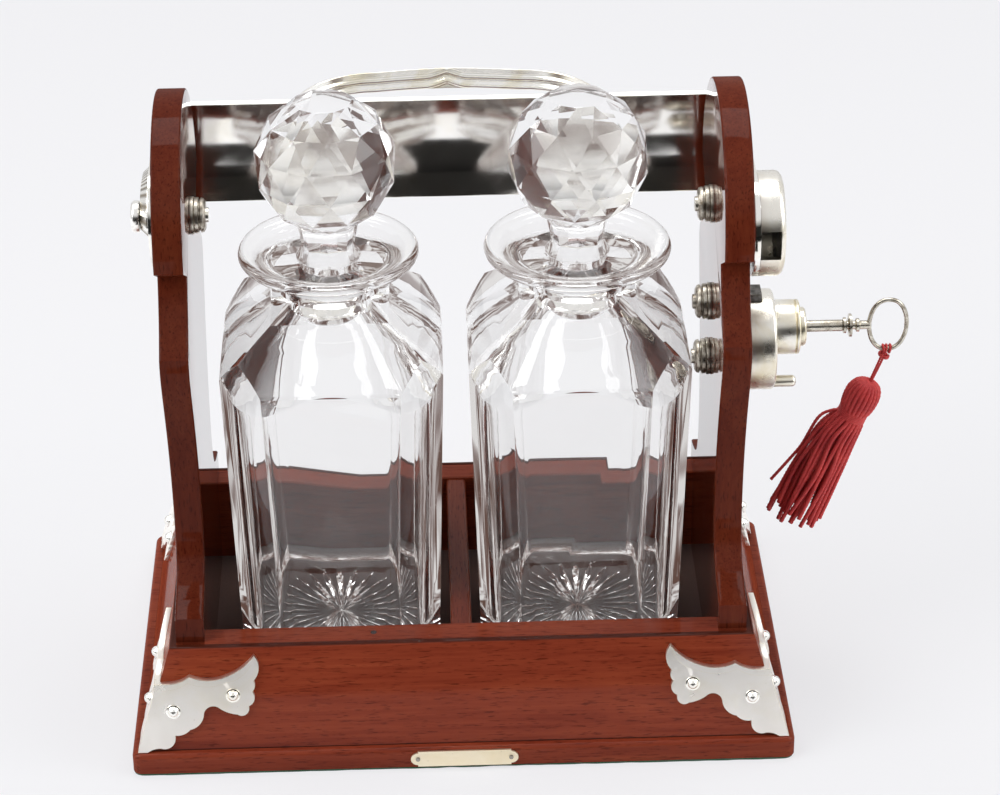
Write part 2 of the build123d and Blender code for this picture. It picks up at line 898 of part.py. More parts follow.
def tassel_cord(head):
    """The doubled cord: up from the head, over the bow wire, and down again."""
    round_wire = (bow_wire + cord_diameter) / 2 + 0.1
    frame = tassel_frame()
    foot = frame.origin
    lean = radians(tassel_lean)
    drop = 2.6
    route = [
        (foot.X, -0.9, foot.Z - 0.5),
        (bow_centre_x - drop * sin(lean), -round_wire, bow_bottom_z - drop),
        (bow_centre_x, -round_wire, bow_bottom_z + round_wire),
        (bow_centre_x, round_wire, bow_bottom_z + round_wire),
        (bow_centre_x - drop * sin(lean), round_wire, bow_bottom_z - drop),
        (foot.X, 0.9, foot.Z - 0.5),
    ]
    bend = 0.95 * round_wire
    path = FilletPolyline(*route, radius=[3.0, bend, bend, 3.0])
    section = Plane(origin=path @ 0, z_dir=path % 0) * Circle(cord_diameter / 2)
    return sweep(section, path) - head


# ---------------------------------------------------------------- decanters and stoppers
def square_form(low_width, high_width, cut, low, high):
    """A tapered square bar with its corners cut off."""
    faces = []
    for width, z in ((low_width, low), (high_width, high)):
        square = Rectangle(width, width)
        faces.append(Pos(0, 0, z) * chamfer(square.vertices(), cut))
    return loft(faces)


def bore_at(height):
    """The radius of the tapered neck bore at a height above the decanter's foot."""
    return bore_radius - (dish_height - height) * tan(radians(bore_taper))


def shoulders():
    """Four sloping shoulder faces as one pyramid, ending inside the neck."""
    slope = tan(radians(shoulder_slope))
    half = decanter_shoulder_width / 2
    high = shoulder_height + (half - 0.68 * decanter_neck_radius) * slope
    faces = []
    for z in (0, high):
        width = 2 * (half + (shoulder_height - z) / slope)
        faces.append(Pos(0, 0, z) * Rectangle(width, width))
    return loft(faces)


def decanter(rim_radius):
    """A square bottle with four sloping shoulders, a round neck and a wide dished rim."""
    rate = (decanter_shoulder_width - decanter_base_width) / 2 / shoulder_height
    grown = decanter_base_width + 2 * rate * rim_height
    bar = square_form(decanter_base_width, grown, decanter_corner_cut, 0, rim_height)
    neck = decanter_neck_radius
    start = decanter_neck_start
    body = bar & shoulders()
    body += turned(
        [
            Line((0, shoulder_height), (neck, shoulder_height)),
            Line((neck, shoulder_height), (neck, start)),
            ThreePointArc(
                (neck, start),
                (0.72 * neck + 0.28 * rim_radius, start + 4.6),
                (rim_radius - rim_round, rim_height - 2 * rim_round),
            ),
            ThreePointArc(
                (rim_radius - rim_round, rim_height - 2 * rim_round),
                (rim_radius, rim_height - rim_round),
                (rim_radius - rim_round, rim_height),
            ),
            Line((rim_radius - rim_round, rim_height), (bore_radius + 4, dish_height + 0.6)),
            Line((bore_radius + 4, dish_height + 0.6), (bore_radius, dish_height)),
            Line((bore_radius, dish_height), (0, dish_height)),
            Line((0, dish_height), (0, shoulder_height)),
        ]
    )
    return body - cavity(rate) - throat()


def cavity(rate):
    """The blown inside: a square with rounded corners and foot, under a cone."""
    faces = []
    for z in (glass_base, rim_height):
        width = decanter_base_width + 2 * rate * z - 2 * glass_wall
        faces.append(Pos(0, 0, z) * RectangleRounded(width, width, cavity_corner_radius))
    inside = loft(faces)
    inside = fillet(inside.edges().group_by(Axis.Z)[0], cavity_foot_radius)
    slope = tan(radians(shoulder_slope))
    half = decanter_shoulder_width / 2
    start = shoulder_height - glass_wall / cos(radians(shoulder_slope))
    narrow = 0.65 * bore_radius
    high = start + (half - narrow) * slope
    wide = half + start / slope
    return inside & turned_points((0, 0), (wide, 0), (narrow, high), (0, high))


def throat():
    """The tapered bore that the stopper's plug fits."""
    low = dish_height - stopper_plug_length + stopper_plug_free
    return turned_points((0, low), (bore_at(low), low), (bore_radius, dish_height), (0, dish_height))


def facet_ring(n, turn):
    """The facet corners of a ring round the ball, each ring half a step on from the last."""
    level = radians(ball_ring_step * ((ball_rings - 1) / 2 - n))
    step = 360 / ball_ring_corners
    corners = []
    for k in range(ball_ring_corners):
        around = radians(turn + step * (k + n / 2))
        flat = cos(level) * ball_radius
        corners.append(Vector(flat * cos(around), flat * sin(around), ball_radius * sin(level)))
    return corners


def flat_face(*corners):
    return Face(Wire.make_polygon(corners))


def faceted_ball(turn):
    """A ball of flat three-sided facets about the origin, with a flat foot for the neck."""
    crown = Vector(0, 0, ball_radius)
    rings = [facet_ring(n, turn) for n in range(ball_rings)]
    faces = [flat_face(*rings[-1])]
    for k in range(ball_ring_corners):
        after = (k + 1) % ball_ring_corners
        faces.append(flat_face(crown, rings[0][k], rings[0][after]))
        for upper, lower in zip(rings, rings[1:]):
            faces.append(flat_face(upper[k], upper[after], lower[k]))
            faces.append(flat_face(lower[k], lower[after], upper[after]))
    return Solid(Shell(faces))


def stopper(turn):
    """A faceted ball on an eight-sided neck, over a tapered round plug."""
    low = dish_height - stopper_plug_length
    gap = stopper_clearance
    plug = turned_points(
        (0, low),
        (bore_at(low) - gap - 0.6, low),
        (bore_at(low + 1) - gap, low + 1),
        (bore_radius - gap, dish_height),
        (0, dish_height),
    )
    waist = dish_height + stopper_waist_rise
    ball_low = ball_height - 0.9 * ball_radius
    neck = loft(
        [
            Pos(0, 0, dish_height) * RegularPolygon(bore_radius - gap, 8),
            Pos(0, 0, waist) * RegularPolygon(stopper_neck_radius, 8),
        ]
    )
    upper = loft(
        [
            Pos(0, 0, waist) * RegularPolygon(stopper_neck_radius, 8),
            Pos(0, 0, ball_low) * RegularPolygon(stopper_neck_radius + 2, 8),
        ]
    )
    return plug + neck + upper + Pos(0, 0, ball_height) * faceted_ball(turn)


# ---------------------------------------------------------------- the whole object
def build_frame():
    save("baize_pad", baize_pad())
    plate, pins = plaque()
    save("plinth", plinth() - pins)
    save("name_plate", plate - pins)
    save("name_plate_pins", *pins)
    holes = four_corners(screw_holes())
    ring = moulding_ring() - holes
    front = ring & front_side()
    right = ring & right_side()
    save("front_moulding", front)
    save("back_moulding", mirror_y(front))
    save("left_moulding", mirror_x(right))
    save("right_moulding", right)
    save("front_rail", front_rail())
    save("back_rail", mirror_y(front_rail()))
    save("tray_floor", tray_floor())
    save("tray_lining", *tray_lining())
    save("divider", divider())
    save("left_upright", left_upright())
    save("right_upright", right_upright())
    bracket = front_right_bracket() - screw_holes()
    names = ("front_right", "front_left", "back_right", "back_left")
    for name, solid in zip(names, four_corners([bracket])):
        save(f"{name}_bracket", solid)
    screws = [frame * screw() for frame in wall_frames()]
    save("bracket_screws", *four_corners(screws))


def build_pivots():
    ring, nut = inner_stack(pivot_z)
    save("left_pivot_stud", left_pivot_stud())
    save("right_pivot_pin", right_pivot_pin())
    save("pivot_washers", ring, mirror_x(ring), spacer(), mirror_x(spacer()))
    save("pivot_nuts", nut, mirror_x(nut))


def build_lock():
    save("lock_case", lock_case())
    save("lock_barrel", lock_barrel())
    save("lock_collar", lock_collar())
    save("lock_peg", lock_peg())
    save("lock_studs", *lock_studs())
    stacks = [inner_stack(z) for z in fixing_heights()]
    save("lock_washers", *[ring for ring, nut in stacks])
    save("lock_nuts", *[nut for ring, nut in stacks])
    save("lock_bolt", lock_bolt())
    bow = key_bow()
    save("key_bow", bow)
    save("key_shank", key_shank(bow))


def build_yoke():
    save("yoke_band", yoke_band())
    save("left_arm", mirror_x(arm(0, arm_end_radius)))
    save("right_arm", arm(-housing_offset, housing_radius))
    save("left_boss", left_boss())
    save("handle", handle())
    save("hasp_housing", hasp_housing())


def build_tassel():
    head = tassel_head()
    save("tassel_head", head)
    save("tassel_skirt", tassel_skirt())
    save("tassel_cord", tassel_cord(head))


def build_glass():
    for name, side, rim, turn in zip(("left", "right"), (-1, 1), rim_radii, ball_turns):
        place = Pos(side * decanter_pitch / 2, 0, decanter_z)
        save(f"{name}_decanter", place * decanter(rim))
        save(f"{name}_stopper", place * stopper(turn))


def main():
    os.makedirs("parts", exist_ok=True)
    build_frame()
    build_pivots()
    build_lock()
    build_yoke()
    build_tassel()
    build_glass()


if __name__ == "__main__":
    main()
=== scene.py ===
"""Looks for the two-bottle tantalus: camera, studio, materials and the fine pieces.

Metres, in the frame's own axes: +X towards the lock, +Y to the back, +Z up.
"""

import json
from math import cos, pi, radians, sin, sqrt, tan

import bmesh
import bpy
import numpy as np
from mathutils import Matrix, Vector, noise

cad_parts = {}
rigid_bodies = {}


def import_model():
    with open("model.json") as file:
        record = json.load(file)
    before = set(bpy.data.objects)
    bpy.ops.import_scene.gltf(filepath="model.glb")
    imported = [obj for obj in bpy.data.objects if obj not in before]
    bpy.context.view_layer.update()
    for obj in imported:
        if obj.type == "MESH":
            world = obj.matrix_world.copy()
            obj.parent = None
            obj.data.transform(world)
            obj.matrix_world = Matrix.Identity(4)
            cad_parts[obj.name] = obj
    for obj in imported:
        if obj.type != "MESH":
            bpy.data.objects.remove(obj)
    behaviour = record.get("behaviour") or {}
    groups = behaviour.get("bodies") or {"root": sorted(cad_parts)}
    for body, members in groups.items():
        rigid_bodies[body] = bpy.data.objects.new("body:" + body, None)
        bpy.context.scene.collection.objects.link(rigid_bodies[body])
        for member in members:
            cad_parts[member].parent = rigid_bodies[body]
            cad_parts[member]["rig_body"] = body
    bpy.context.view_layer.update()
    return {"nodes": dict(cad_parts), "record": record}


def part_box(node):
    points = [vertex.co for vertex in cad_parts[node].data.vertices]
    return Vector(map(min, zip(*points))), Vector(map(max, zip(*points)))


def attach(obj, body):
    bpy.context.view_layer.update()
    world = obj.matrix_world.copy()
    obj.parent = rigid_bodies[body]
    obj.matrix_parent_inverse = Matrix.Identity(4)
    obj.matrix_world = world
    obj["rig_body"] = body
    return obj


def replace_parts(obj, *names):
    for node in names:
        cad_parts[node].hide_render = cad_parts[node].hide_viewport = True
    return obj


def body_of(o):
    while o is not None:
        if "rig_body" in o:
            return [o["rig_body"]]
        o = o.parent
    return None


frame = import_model()
JOINTS = {joint["name"]: joint for joint in frame["record"]["behaviour"]["joints"]}
MM = 0.001


# ---------------------------------------------------------------- camera and studio
SENSOR_WIDTH = 36             # mm
LENS = 114.35
VIEW_AZIMUTH = radians(-1.547)
VIEW_ELEVATION = radians(30.149)
VIEW_ROLL = radians(-0.607)
VIEW_AIM = Vector((0.0182, 0.0, 0.12547))
VIEW_DISTANCE = 1.3058

LAMPS = (                     # name, place, aim, size in m, power in W
    ("left_softbox", (-1.3, -0.5, 1.3), (0, 0, 0.12), (1.2, 1.2), 20),
    ("right_softbox", (1.4, -0.3, 1.0), (0, 0, 0.12), (0.8, 1.2), 11),
    ("top_softbox", (0.0, 0.5, 1.7), (0, 0, 0.1), (1.4, 0.9), 14),
)


def add_camera():
    """The photograph's view, from in front and above, with its slight roll."""
    az, el = VIEW_AZIMUTH, VIEW_ELEVATION
    back = Vector((sin(az) * cos(el), -cos(az) * cos(el), sin(el)))
    right = Vector((cos(az), sin(az), 0))
    up = right.cross(-back)
    turned_right = cos(VIEW_ROLL) * right + sin(VIEW_ROLL) * up
    turned_up = cos(VIEW_ROLL) * up - sin(VIEW_ROLL) * right
    camera = bpy.data.objects.new("camera", bpy.data.cameras.new("camera"))
    camera.data.lens = LENS
    camera.data.sensor_width = SENSOR_WIDTH
    camera.data.clip_start = 0.05
    camera.data.clip_end = 50
    turn = Matrix((turned_right, turned_up, back)).transposed().to_4x4()
    camera.matrix_world = Matrix.Translation(VIEW_AIM + VIEW_DISTANCE * back) @ turn
    bpy.context.collection.objects.link(camera)
    bpy.context.scene.camera = camera
    bpy.context.scene.view_settings.view_transform = "Standard"


def area_light(name, place, aim, size, power):
    """A plain white softbox at a place, turned to its aim."""
    light = bpy.data.lights.new(name, "AREA")
    light.shape = "RECTANGLE"
    light.size, light.size_y = size
    light.energy = power
    lamp = bpy.data.objects.new(name, light)
    lamp.location = place
    lamp.rotation_euler = (Vector(aim) - Vector(place)).to_track_quat("-Z", "Y").to_euler()
    bpy.context.collection.objects.link(lamp)


def add_lights():
    """A softbox on each side, and one above and behind."""
    for lamp in LAMPS:
        area_light(*lamp)


class Nodes:
    """A short way to add and join shader nodes in one tree."""

    def __init__(self, tree):
        self.tree = tree
        tree.nodes.clear()

    def add(self, kind, inputs=None, **settings):
        """A node of a kind, with its settings and with values or sockets put into its inputs."""
        node = self.tree.nodes.new(kind)
        for key, value in settings.items():
            setattr(node, key, value)
        for key, value in (inputs or {}).items():
            self.put(node.inputs[key], value)
        return node

    def put(self, socket, value):
        if isinstance(value, bpy.types.NodeSocket):
            self.tree.links.new(value, socket)
        elif isinstance(value, tuple) and len(value) == 3 and socket.type == "RGBA":
            socket.default_value = (*value, 1)
        else:
            socket.default_value = value

    def math(self, operation, a, b=0.0, clamp=False):
        node = self.add("ShaderNodeMath", {0: a, 1: b}, operation=operation, use_clamp=clamp)
        return node.outputs[0]

    def mix(self, factor, a, b):
        node = self.add("ShaderNodeMix", data_type="RGBA")
        self.put(node.inputs[0], factor)
        self.put(node.inputs[6], a)
        self.put(node.inputs[7], b)
        return node.outputs[2]

    def ramp(self, factor, *stops):
        """A colour ramp through stops, each a place and a colour."""
        node = self.add("ShaderNodeValToRGB", {0: factor})
        points = node.color_ramp.elements
        while len(points) < len(stops):
            points.new(0.5)
        for point, (place, colour) in zip(points, stops):
            point.position = place
            point.color = (*colour, 1)
        return node.outputs[0]

    def level(self, value, low, high, to_low=0.0, to_high=1.0):
        """The value's place between low and high, held inside them."""
        sockets = {0: value, 1: low, 2: high, 3: to_low, 4: to_high}
        return self.add("ShaderNodeMapRange", sockets, clamp=True).outputs[0]

    def place(self, scale=(1, 1, 1), turn=(0, 0, 0), shift=(0, 0, 0)):
        """The place on the piece in metres, which moves with the piece."""
        source = self.add("ShaderNodeTexCoord").outputs["Object"]
        sockets = {"Vector": source, "Scale": scale, "Rotation": turn, "Location": shift}
        return self.add("ShaderNodeMapping", sockets).outputs[0]

    def noise(self, vector, scale, detail=4.0, rough=0.5, distortion=0.0):
        sockets = {"Vector": vector, "Scale": scale, "Detail": detail, "Roughness": rough}
        sockets["Distortion"] = distortion
        return self.add("ShaderNodeTexNoise", sockets).outputs["Fac"]

    def long_noise(self, vector, stretch, detail, rough, distortion=0.0):
        """Noise drawn out by a different scale along each axis."""
        drawn = self.add("ShaderNodeMapping", {"Vector": vector, "Scale": stretch}).outputs[0]
        return self.noise(drawn, 1.0, detail, rough, distortion)

    def bump(self, height, distance, strength=1.0):
        sockets = {"Height": height, "Distance": distance, "Strength": strength}
        return self.add("ShaderNodeBump", sockets).outputs[0]


def is_any(nodes, *kinds):
    """1 where the ray is one of the given kinds of Light Path ray."""
    path = nodes.add("ShaderNodeLightPath")
    total = path.outputs[kinds[0]]
    for kind in kinds[1:]:
        total = nodes.math("ADD", total, path.outputs[kind], clamp=True)
    return total


ROOM_DARK = (0.018, 0.017, 0.016)
ROOM_WHITE = (0.80, 0.80, 0.81)
SKY = (0.62, 0.63, 0.65)
SKY_STRENGTH = 0.55
DARK_TO_FRONT = (0.05, -0.2)  # the parts of a direction between which the room turns dark:
DARK_ACROSS = (0.75, 0.5)     # towards the front, across, and up
DARK_BELOW = (0.55, 0.32)

PAPER = (0.897, 0.897, 0.914)
PAPER_SEEN = (0.855, 0.852, 0.872)
PAPER_GLOW = 0.75             # the share of the seen paper that is even white, without shadow
PAPER_SIZE = 8
PAPER_FRONT = (-0.30, -0.32)  # where the white paper ends in front of the stand
PAPER_GAP = (0.16, 0.14)      # half the width over which it ends there
TABLE_FRONT = (-0.85, -0.90)  # and where the table ends on both sides of the camera


def straight_gloss(nodes):
    """1 for a reflection that hasn't been through glass: the rest sees white all round."""
    path = nodes.add("ShaderNodeLightPath")
    outside = nodes.math("LESS_THAN", path.outputs["Transmission Depth"], 0.5)
    return nodes.math("MULTIPLY", path.outputs["Is Glossy Ray"], outside)


def add_world():
    """White for the camera and through glass; a light tent, dark at its camera side, for gloss."""
    world = bpy.data.worlds.new("world")
    bpy.context.scene.world = world
    world.use_nodes = True
    nodes = Nodes(world.node_tree)
    direction = nodes.add("ShaderNodeTexCoord").outputs["Generated"]
    parts = nodes.add("ShaderNodeSeparateXYZ", {0: direction})
    to_front = nodes.level(parts.outputs["Y"], *DARK_TO_FRONT)
    middle = nodes.level(nodes.math("ABSOLUTE", parts.outputs["X"]), *DARK_ACROSS)
    low = nodes.level(parts.outputs["Z"], *DARK_BELOW)
    dark = nodes.math("MULTIPLY", nodes.math("MULTIPLY", to_front, middle), low)
    studio = nodes.mix(dark, ROOM_WHITE, ROOM_DARK)
    light = nodes.add("ShaderNodeBackground", {"Color": SKY, "Strength": SKY_STRENGTH})
    gloss = nodes.add("ShaderNodeBackground", {"Color": studio, "Strength": 1.0})
    white = nodes.add("ShaderNodeBackground", {"Color": PAPER, "Strength": 1.0})
    seen = is_any(nodes, "Is Camera Ray", "Is Transmission Ray", "Is Glossy Ray")
    shown = nodes.add("ShaderNodeMixShader", {0: seen, 1: light.outputs[0], 2: white.outputs[0]})
    sockets = {0: straight_gloss(nodes), 1: shown.outputs[0], 2: gloss.outputs[0]}
    shown = nodes.add("ShaderNodeMixShader", sockets)
    nodes.add("ShaderNodeOutputWorld", {"Surface": shown.outputs[0]})


def add_floor():
    """A sheet of white paper, dark beyond its front edge where only reflections see it."""
    bpy.ops.mesh.primitive_grid_add(size=PAPER_SIZE, x_subdivisions=4, y_subdivisions=4)
    floor = bpy.context.object
    floor.name = "floor"
    material = bpy.data.materials.new("paper")
    material.use_nodes = True
    nodes = Nodes(material.node_tree)
    place = nodes.add("ShaderNodeSeparateXYZ", {0: nodes.place()})
    near = nodes.level(place.outputs["Y"], *PAPER_FRONT)
    gap = nodes.level(nodes.math("ABSOLUTE", place.outputs["X"]), *PAPER_GAP)
    far = nodes.level(place.outputs["Y"], *TABLE_FRONT)
    beyond = nodes.math("MAXIMUM", nodes.math("MULTIPLY", near, gap), far)
    reflected = nodes.math("MULTIPLY", beyond, straight_gloss(nodes))
    colour = nodes.mix(reflected, PAPER, ROOM_DARK)
    paper = nodes.add("ShaderNodeBsdfDiffuse", {"Color": colour})
    glow = nodes.add("ShaderNodeEmission", {"Color": PAPER_SEEN, "Strength": 1.0})
    seen = is_any(nodes, "Is Camera Ray", "Is Transmission Ray")
    clean = nodes.math("MULTIPLY", seen, PAPER_GLOW)
    mixed = nodes.add("ShaderNodeMixShader", {0: clean, 1: paper.outputs[0], 2: glow.outputs[0]})
    nodes.add("ShaderNodeOutputMaterial", {"Surface": mixed.outputs[0]})
    floor.data.materials.append(material)


# ---------------------------------------------------------------- materials
GRAIN = {"x": (0, 0, 0), "y": (0, 0, pi / 2), "z": (0, pi / 2, 0)}
WOOD_DEEP = (0.150, 0.0200, 0.0090)
WOOD_MIDDLE = (0.232, 0.0400, 0.0172)
WOOD_BRIGHT = (0.310, 0.0640, 0.0260)
WOOD_STREAK = (7.5, 90, 90)   # waves in a metre along the grain and across it, as those below
WOOD_LINE = (24, 620, 620)
WOOD_SLOW = (7, 22, 22)
WOOD_PORE = (170, 1500, 1500)
# painted shade: the dark of the groove where two parts meet
JOINT_SHADE = (0.018, 0.005, 0.003)
JOINT_HALF_WIDTH = 0.3 * MM

SILVER = (0.93, 0.915, 0.875)
SILVER_BLOOM = (0.80, 0.72, 0.50)
SILVER_SPECK = (0.22, 0.16, 0.10)
WIPED = (260, 30, 900)        # the wiping marks' waves in a metre along each axis
CHASED_HIGH = (0.90, 0.885, 0.84)
CHASED_DEEP = (0.30, 0.26, 0.21)
FLUTES = 24


def new_material(name):
    """A material and its emptied node tree."""
    material = bpy.data.materials.new(name)
    material.use_nodes = True
    return material, Nodes(material.node_tree)


def finish_material(nodes, bsdf):
    """Join the shader to the output."""
    nodes.add("ShaderNodeOutputMaterial", {"Surface": bsdf.outputs[0]})


def mahogany(name, grain="x", light=1.0, shift=(0, 0, 0), gloss=0.8, joints=()):
    """French-polished mahogany: long streaks, short dark pores, slow figure, and a clear coat.

    joints are the heights at which a thin line of painted shade darkens the joint.
    """
    material, nodes = new_material(name)
    along = nodes.place(turn=GRAIN[grain], shift=shift)
    streak = nodes.long_noise(along, WOOD_STREAK, 6, 0.62, 0.7)
    slow = nodes.long_noise(along, WOOD_SLOW, 2, 0.5, 1.2)
    lines = nodes.long_noise(along, WOOD_LINE, 4, 0.6, 0.3)
    mixed = nodes.math("ADD", nodes.math("MULTIPLY", streak, 0.40), nodes.math("MULTIPLY", slow, 0.25))
    mixed = nodes.math("ADD", mixed, nodes.math("MULTIPLY", lines, 0.35))
    tones = (WOOD_DEEP, WOOD_MIDDLE, WOOD_BRIGHT)
    deep, middle, bright = (tuple(light * v for v in tone) for tone in tones)
    colour = nodes.ramp(mixed, (0.32, deep), (0.50, middle), (0.70, bright))
    pores = nodes.level(nodes.long_noise(along, WOOD_PORE, 2, 0.55), 0.57, 0.68)
    colour = nodes.mix(nodes.math("MULTIPLY", pores, 0.6), colour, tuple(0.35 * v for v in deep))
    if joints:
        level = nodes.add("ShaderNodeSeparateXYZ", {0: nodes.place()}).outputs["Z"]
    for joint in joints:
        # a thin line of painted shade along each joint
        away = nodes.math("ABSOLUTE", nodes.math("SUBTRACT", level, joint))
        line = nodes.level(away, 2.2 * JOINT_HALF_WIDTH, JOINT_HALF_WIDTH)
        colour = nodes.mix(nodes.math("MULTIPLY", line, 0.8), colour, JOINT_SHADE)
    height = nodes.math("SUBTRACT", 1.0, pores)
    bsdf = nodes.add("ShaderNodeBsdfPrincipled", {
        "Base Color": colour,
        "Roughness": 0.5,
        "Specular IOR Level": 0.0,
        "Coat Weight": gloss,
        "Coat Roughness": 0.05,
        "Coat IOR": 1.5,
        "Normal": nodes.bump(height, 0.00004, 0.5),
    })
    finish_material(nodes, bsdf)
    return material


def silver_plate(name, rough, tarnish, tone=SILVER, bloom_tone=SILVER_BLOOM):
    """Old silver plate: bright, with fine wiping marks and a yellow-brown bloom in patches."""
    material, nodes = new_material(name)
    here = nodes.place()
    bloom = nodes.level(nodes.noise(here, 38, 5, 0.62, 0.6), 0.48, 0.74)
    smear = nodes.noise(here, 110, 3, 0.55)
    specks = nodes.level(nodes.noise(here, 820, 2, 0.5), 0.72, 0.80)
    colour = nodes.mix(nodes.math("MULTIPLY", bloom, tarnish), tone, bloom_tone)
    colour = nodes.mix(nodes.math("MULTIPLY", specks, 0.5 * tarnish), colour, SILVER_SPECK)
    marks = nodes.noise(nodes.place(scale=WIPED), 1.0, 3, 0.6)
    bsdf = nodes.add("ShaderNodeBsdfPrincipled", {
        "Base Color": colour,
        "Metallic": 1.0,
        "Roughness": nodes.level(smear, 0.3, 0.75, rough * 0.8, rough * 1.35),
        "Normal": nodes.bump(marks, 0.00001, 0.25),
    })
    finish_material(nodes, bsdf)
    return material


def chased_silver(name, centre):
    """Silver chased in flutes that run out from the centre, dark with age in their hollows."""
    material, nodes = new_material(name)
    here = nodes.add("ShaderNodeSeparateXYZ", {0: nodes.place()}).outputs
    across = nodes.math("SUBTRACT", here["Y"], centre[1])
    upward = nodes.math("SUBTRACT", here["Z"], centre[2])
    turn = nodes.math("ARCTAN2", upward, across)
    wave = nodes.math("SINE", nodes.math("MULTIPLY", turn, FLUTES))
    relief = nodes.level(wave, -1.0, 0.5)
    colour = nodes.mix(relief, CHASED_DEEP, CHASED_HIGH)
    bsdf = nodes.add("ShaderNodeBsdfPrincipled", {
        "Base Color": colour,
        "Metallic": 1.0,
        "Roughness": nodes.level(relief, 0.0, 1.0, 0.4, 0.2),
        "Normal": nodes.bump(relief, 0.0005, 0.8),
    })
    finish_material(nodes, bsdf)
    return material


def metal(name, colour, dark, rough, scale=300.0):
    """A plain turned metal with soft darker clouds."""
    material, nodes = new_material(name)
    cloud = nodes.noise(nodes.place(), scale, 4, 0.6)
    bsdf = nodes.add("ShaderNodeBsdfPrincipled", {
        "Base Color": nodes.mix(nodes.level(cloud, 0.42, 0.66), colour, dark),
        "Metallic": 1.0,
        "Roughness": nodes.level(cloud, 0.3, 0.7, rough * 0.8, rough * 1.4),
        "Normal": nodes.bump(cloud, 0.00002, 0.3),
    })
    finish_material(nodes, bsdf)
    return material


def felt(name, colour, deep):
    """Woollen cloth with its nap worn short."""
    material, nodes = new_material(name)
    nap = nodes.noise(nodes.place(), 1400, 4, 0.7)
    bsdf = nodes.add("ShaderNodeBsdfPrincipled", {
        "Base Color": nodes.mix(nodes.level(nap, 0.35, 0.65), deep, colour),
        "Roughness": 0.95,
        "Sheen Weight": 0.4,
        "Sheen Roughness": 0.5,
        "Normal": nodes.bump(nap, 0.0002, 0.8),
    })
    finish_material(nodes, bsdf)
    return material


# ---------------------------------------------------------------- forms drawn here
TUBE_SIDES = 8


def new_piece(bm, name, body, *materials):
    """An object made of bm, riding on a body."""
    mesh = bpy.data.meshes.new(name)
    bm.to_mesh(mesh)
    bm.free()
    for material in materials:
        mesh.materials.append(material)
    piece = bpy.data.objects.new(name, mesh)
    bpy.context.collection.objects.link(piece)
    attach(piece, body)
    return piece


def piece_from(bm, name, material, body, soft=True):
    """A piece from a form drawn here, with its faces turned outwards."""
    bmesh.ops.recalc_face_normals(bm, faces=bm.faces)
    for face in bm.faces:
        face.smooth = soft
    return new_piece(bm, name, body, material)


def smooth_path(points, steps):
    """A Catmull-Rom curve through the points."""
    points = [Vector(p) for p in points]
    ends = [2 * points[0] - points[1]] + points + [2 * points[-1] - points[-2]]
    path = []
    for a, b, c, d in zip(ends, ends[1:], ends[2:], ends[3:]):
        for k in range(steps):
            t = k / steps
            path.append(0.5 * (2 * b + (c - a) * t + (2 * a - 5 * b + 4 * c - d) * t * t
                               + (3 * b - a - 3 * c + d) * t ** 3))
    return path + [points[-1]]


def even_path(path, gap):
    """The same path with points an even gap apart."""
    lengths = np.cumsum([0.0] + [(b - a).length for a, b in zip(path, path[1:])])
    count = max(4, round(lengths[-1] / gap))
    where = np.linspace(0, lengths[-1], count + 1)
    columns = [np.interp(where, lengths, [p[axis] for p in path]) for axis in range(3)]
    return [Vector(p) for p in zip(*columns)]


def add_tube(bm, path, radius, section, closed=False):
    """Sweep a section, a function of (angle, distance) giving a share of the radius."""
    count = len(path)
    side = None
    rings = []
    along = 0.0
    for n, point in enumerate(path):
        after = path[(n + 1) % count] if closed or n + 1 < count else point
        before = path[n - 1] if closed or n else point
        tangent = (after - before).normalized()
        if side is None:
            side = tangent.orthogonal().normalized()
        side = (side - tangent * side.dot(tangent)).normalized()
        other = tangent.cross(side)
        if n:
            along += (point - path[n - 1]).length
        ring = []
        for k in range(TUBE_SIDES):
            angle = 2 * pi * k / TUBE_SIDES
            reach = radius * section(angle, along)
            ring.append(bm.verts.new(point + reach * (cos(angle) * side + sin(angle) * other)))
        rings.append(ring)
    pairs = list(zip(rings, rings[1:]))
    if closed:
        pairs.append((rings[-1], rings[0]))
    for low, high in pairs:
        for k in range(TUBE_SIDES):
            after = (k + 1) % TUBE_SIDES
            bm.faces.new((low[k], low[after], high[after], high[k]))
    if not closed:
        bm.faces.new(rings[0][::-1])
        bm.faces.new(rings[-1])


def round_section(angle, along):
    """A plain round wire, the same at every angle and place along it."""
    return 1.0


def twisted(pitch, depth=0.2):
    """Two plies laid round each other, one turn in each pitch."""
    def section(angle, along):
        return 1 - depth * abs(sin(angle - 2 * pi * along / pitch))
    return section


# ---------------------------------------------------------------- forms carried over from CAD
WORN_CREASE = radians(40)     # an edge sharper than this is worn
SMOOTH_ANGLE = radians(32)    # and one flatter than this shades smoothly
BROAD_FACE = 15 * MM * MM     # a face this large is flat, and shades flat beside a turned edge
BROAD_ANGLE = radians(8)


def merged_copy(node):
    """The node's own form with its flat faces made whole again."""
    bm = bmesh.new()
    bm.from_mesh(frame["nodes"][node].data)
    bmesh.ops.remove_doubles(bm, verts=bm.verts, dist=0.001 * MM)
    bmesh.ops.dissolve_limit(bm, angle_limit=radians(0.3), verts=bm.verts, edges=bm.edges)
    return bm


def wear_edges(bm, width, crease):
    """Round the sharp edges, and give the rounded faces the second material."""
    sharp = [e for e in bm.edges if len(e.link_faces) == 2 and e.calc_face_angle(0) > crease]
    worn = bmesh.ops.bevel(bm, geom=sharp, offset=width, offset_type="OFFSET", segments=2,
                           profile=0.6, affect="EDGES", clamp_overlap=True)
    for face in worn["faces"]:
        face.material_index = 1


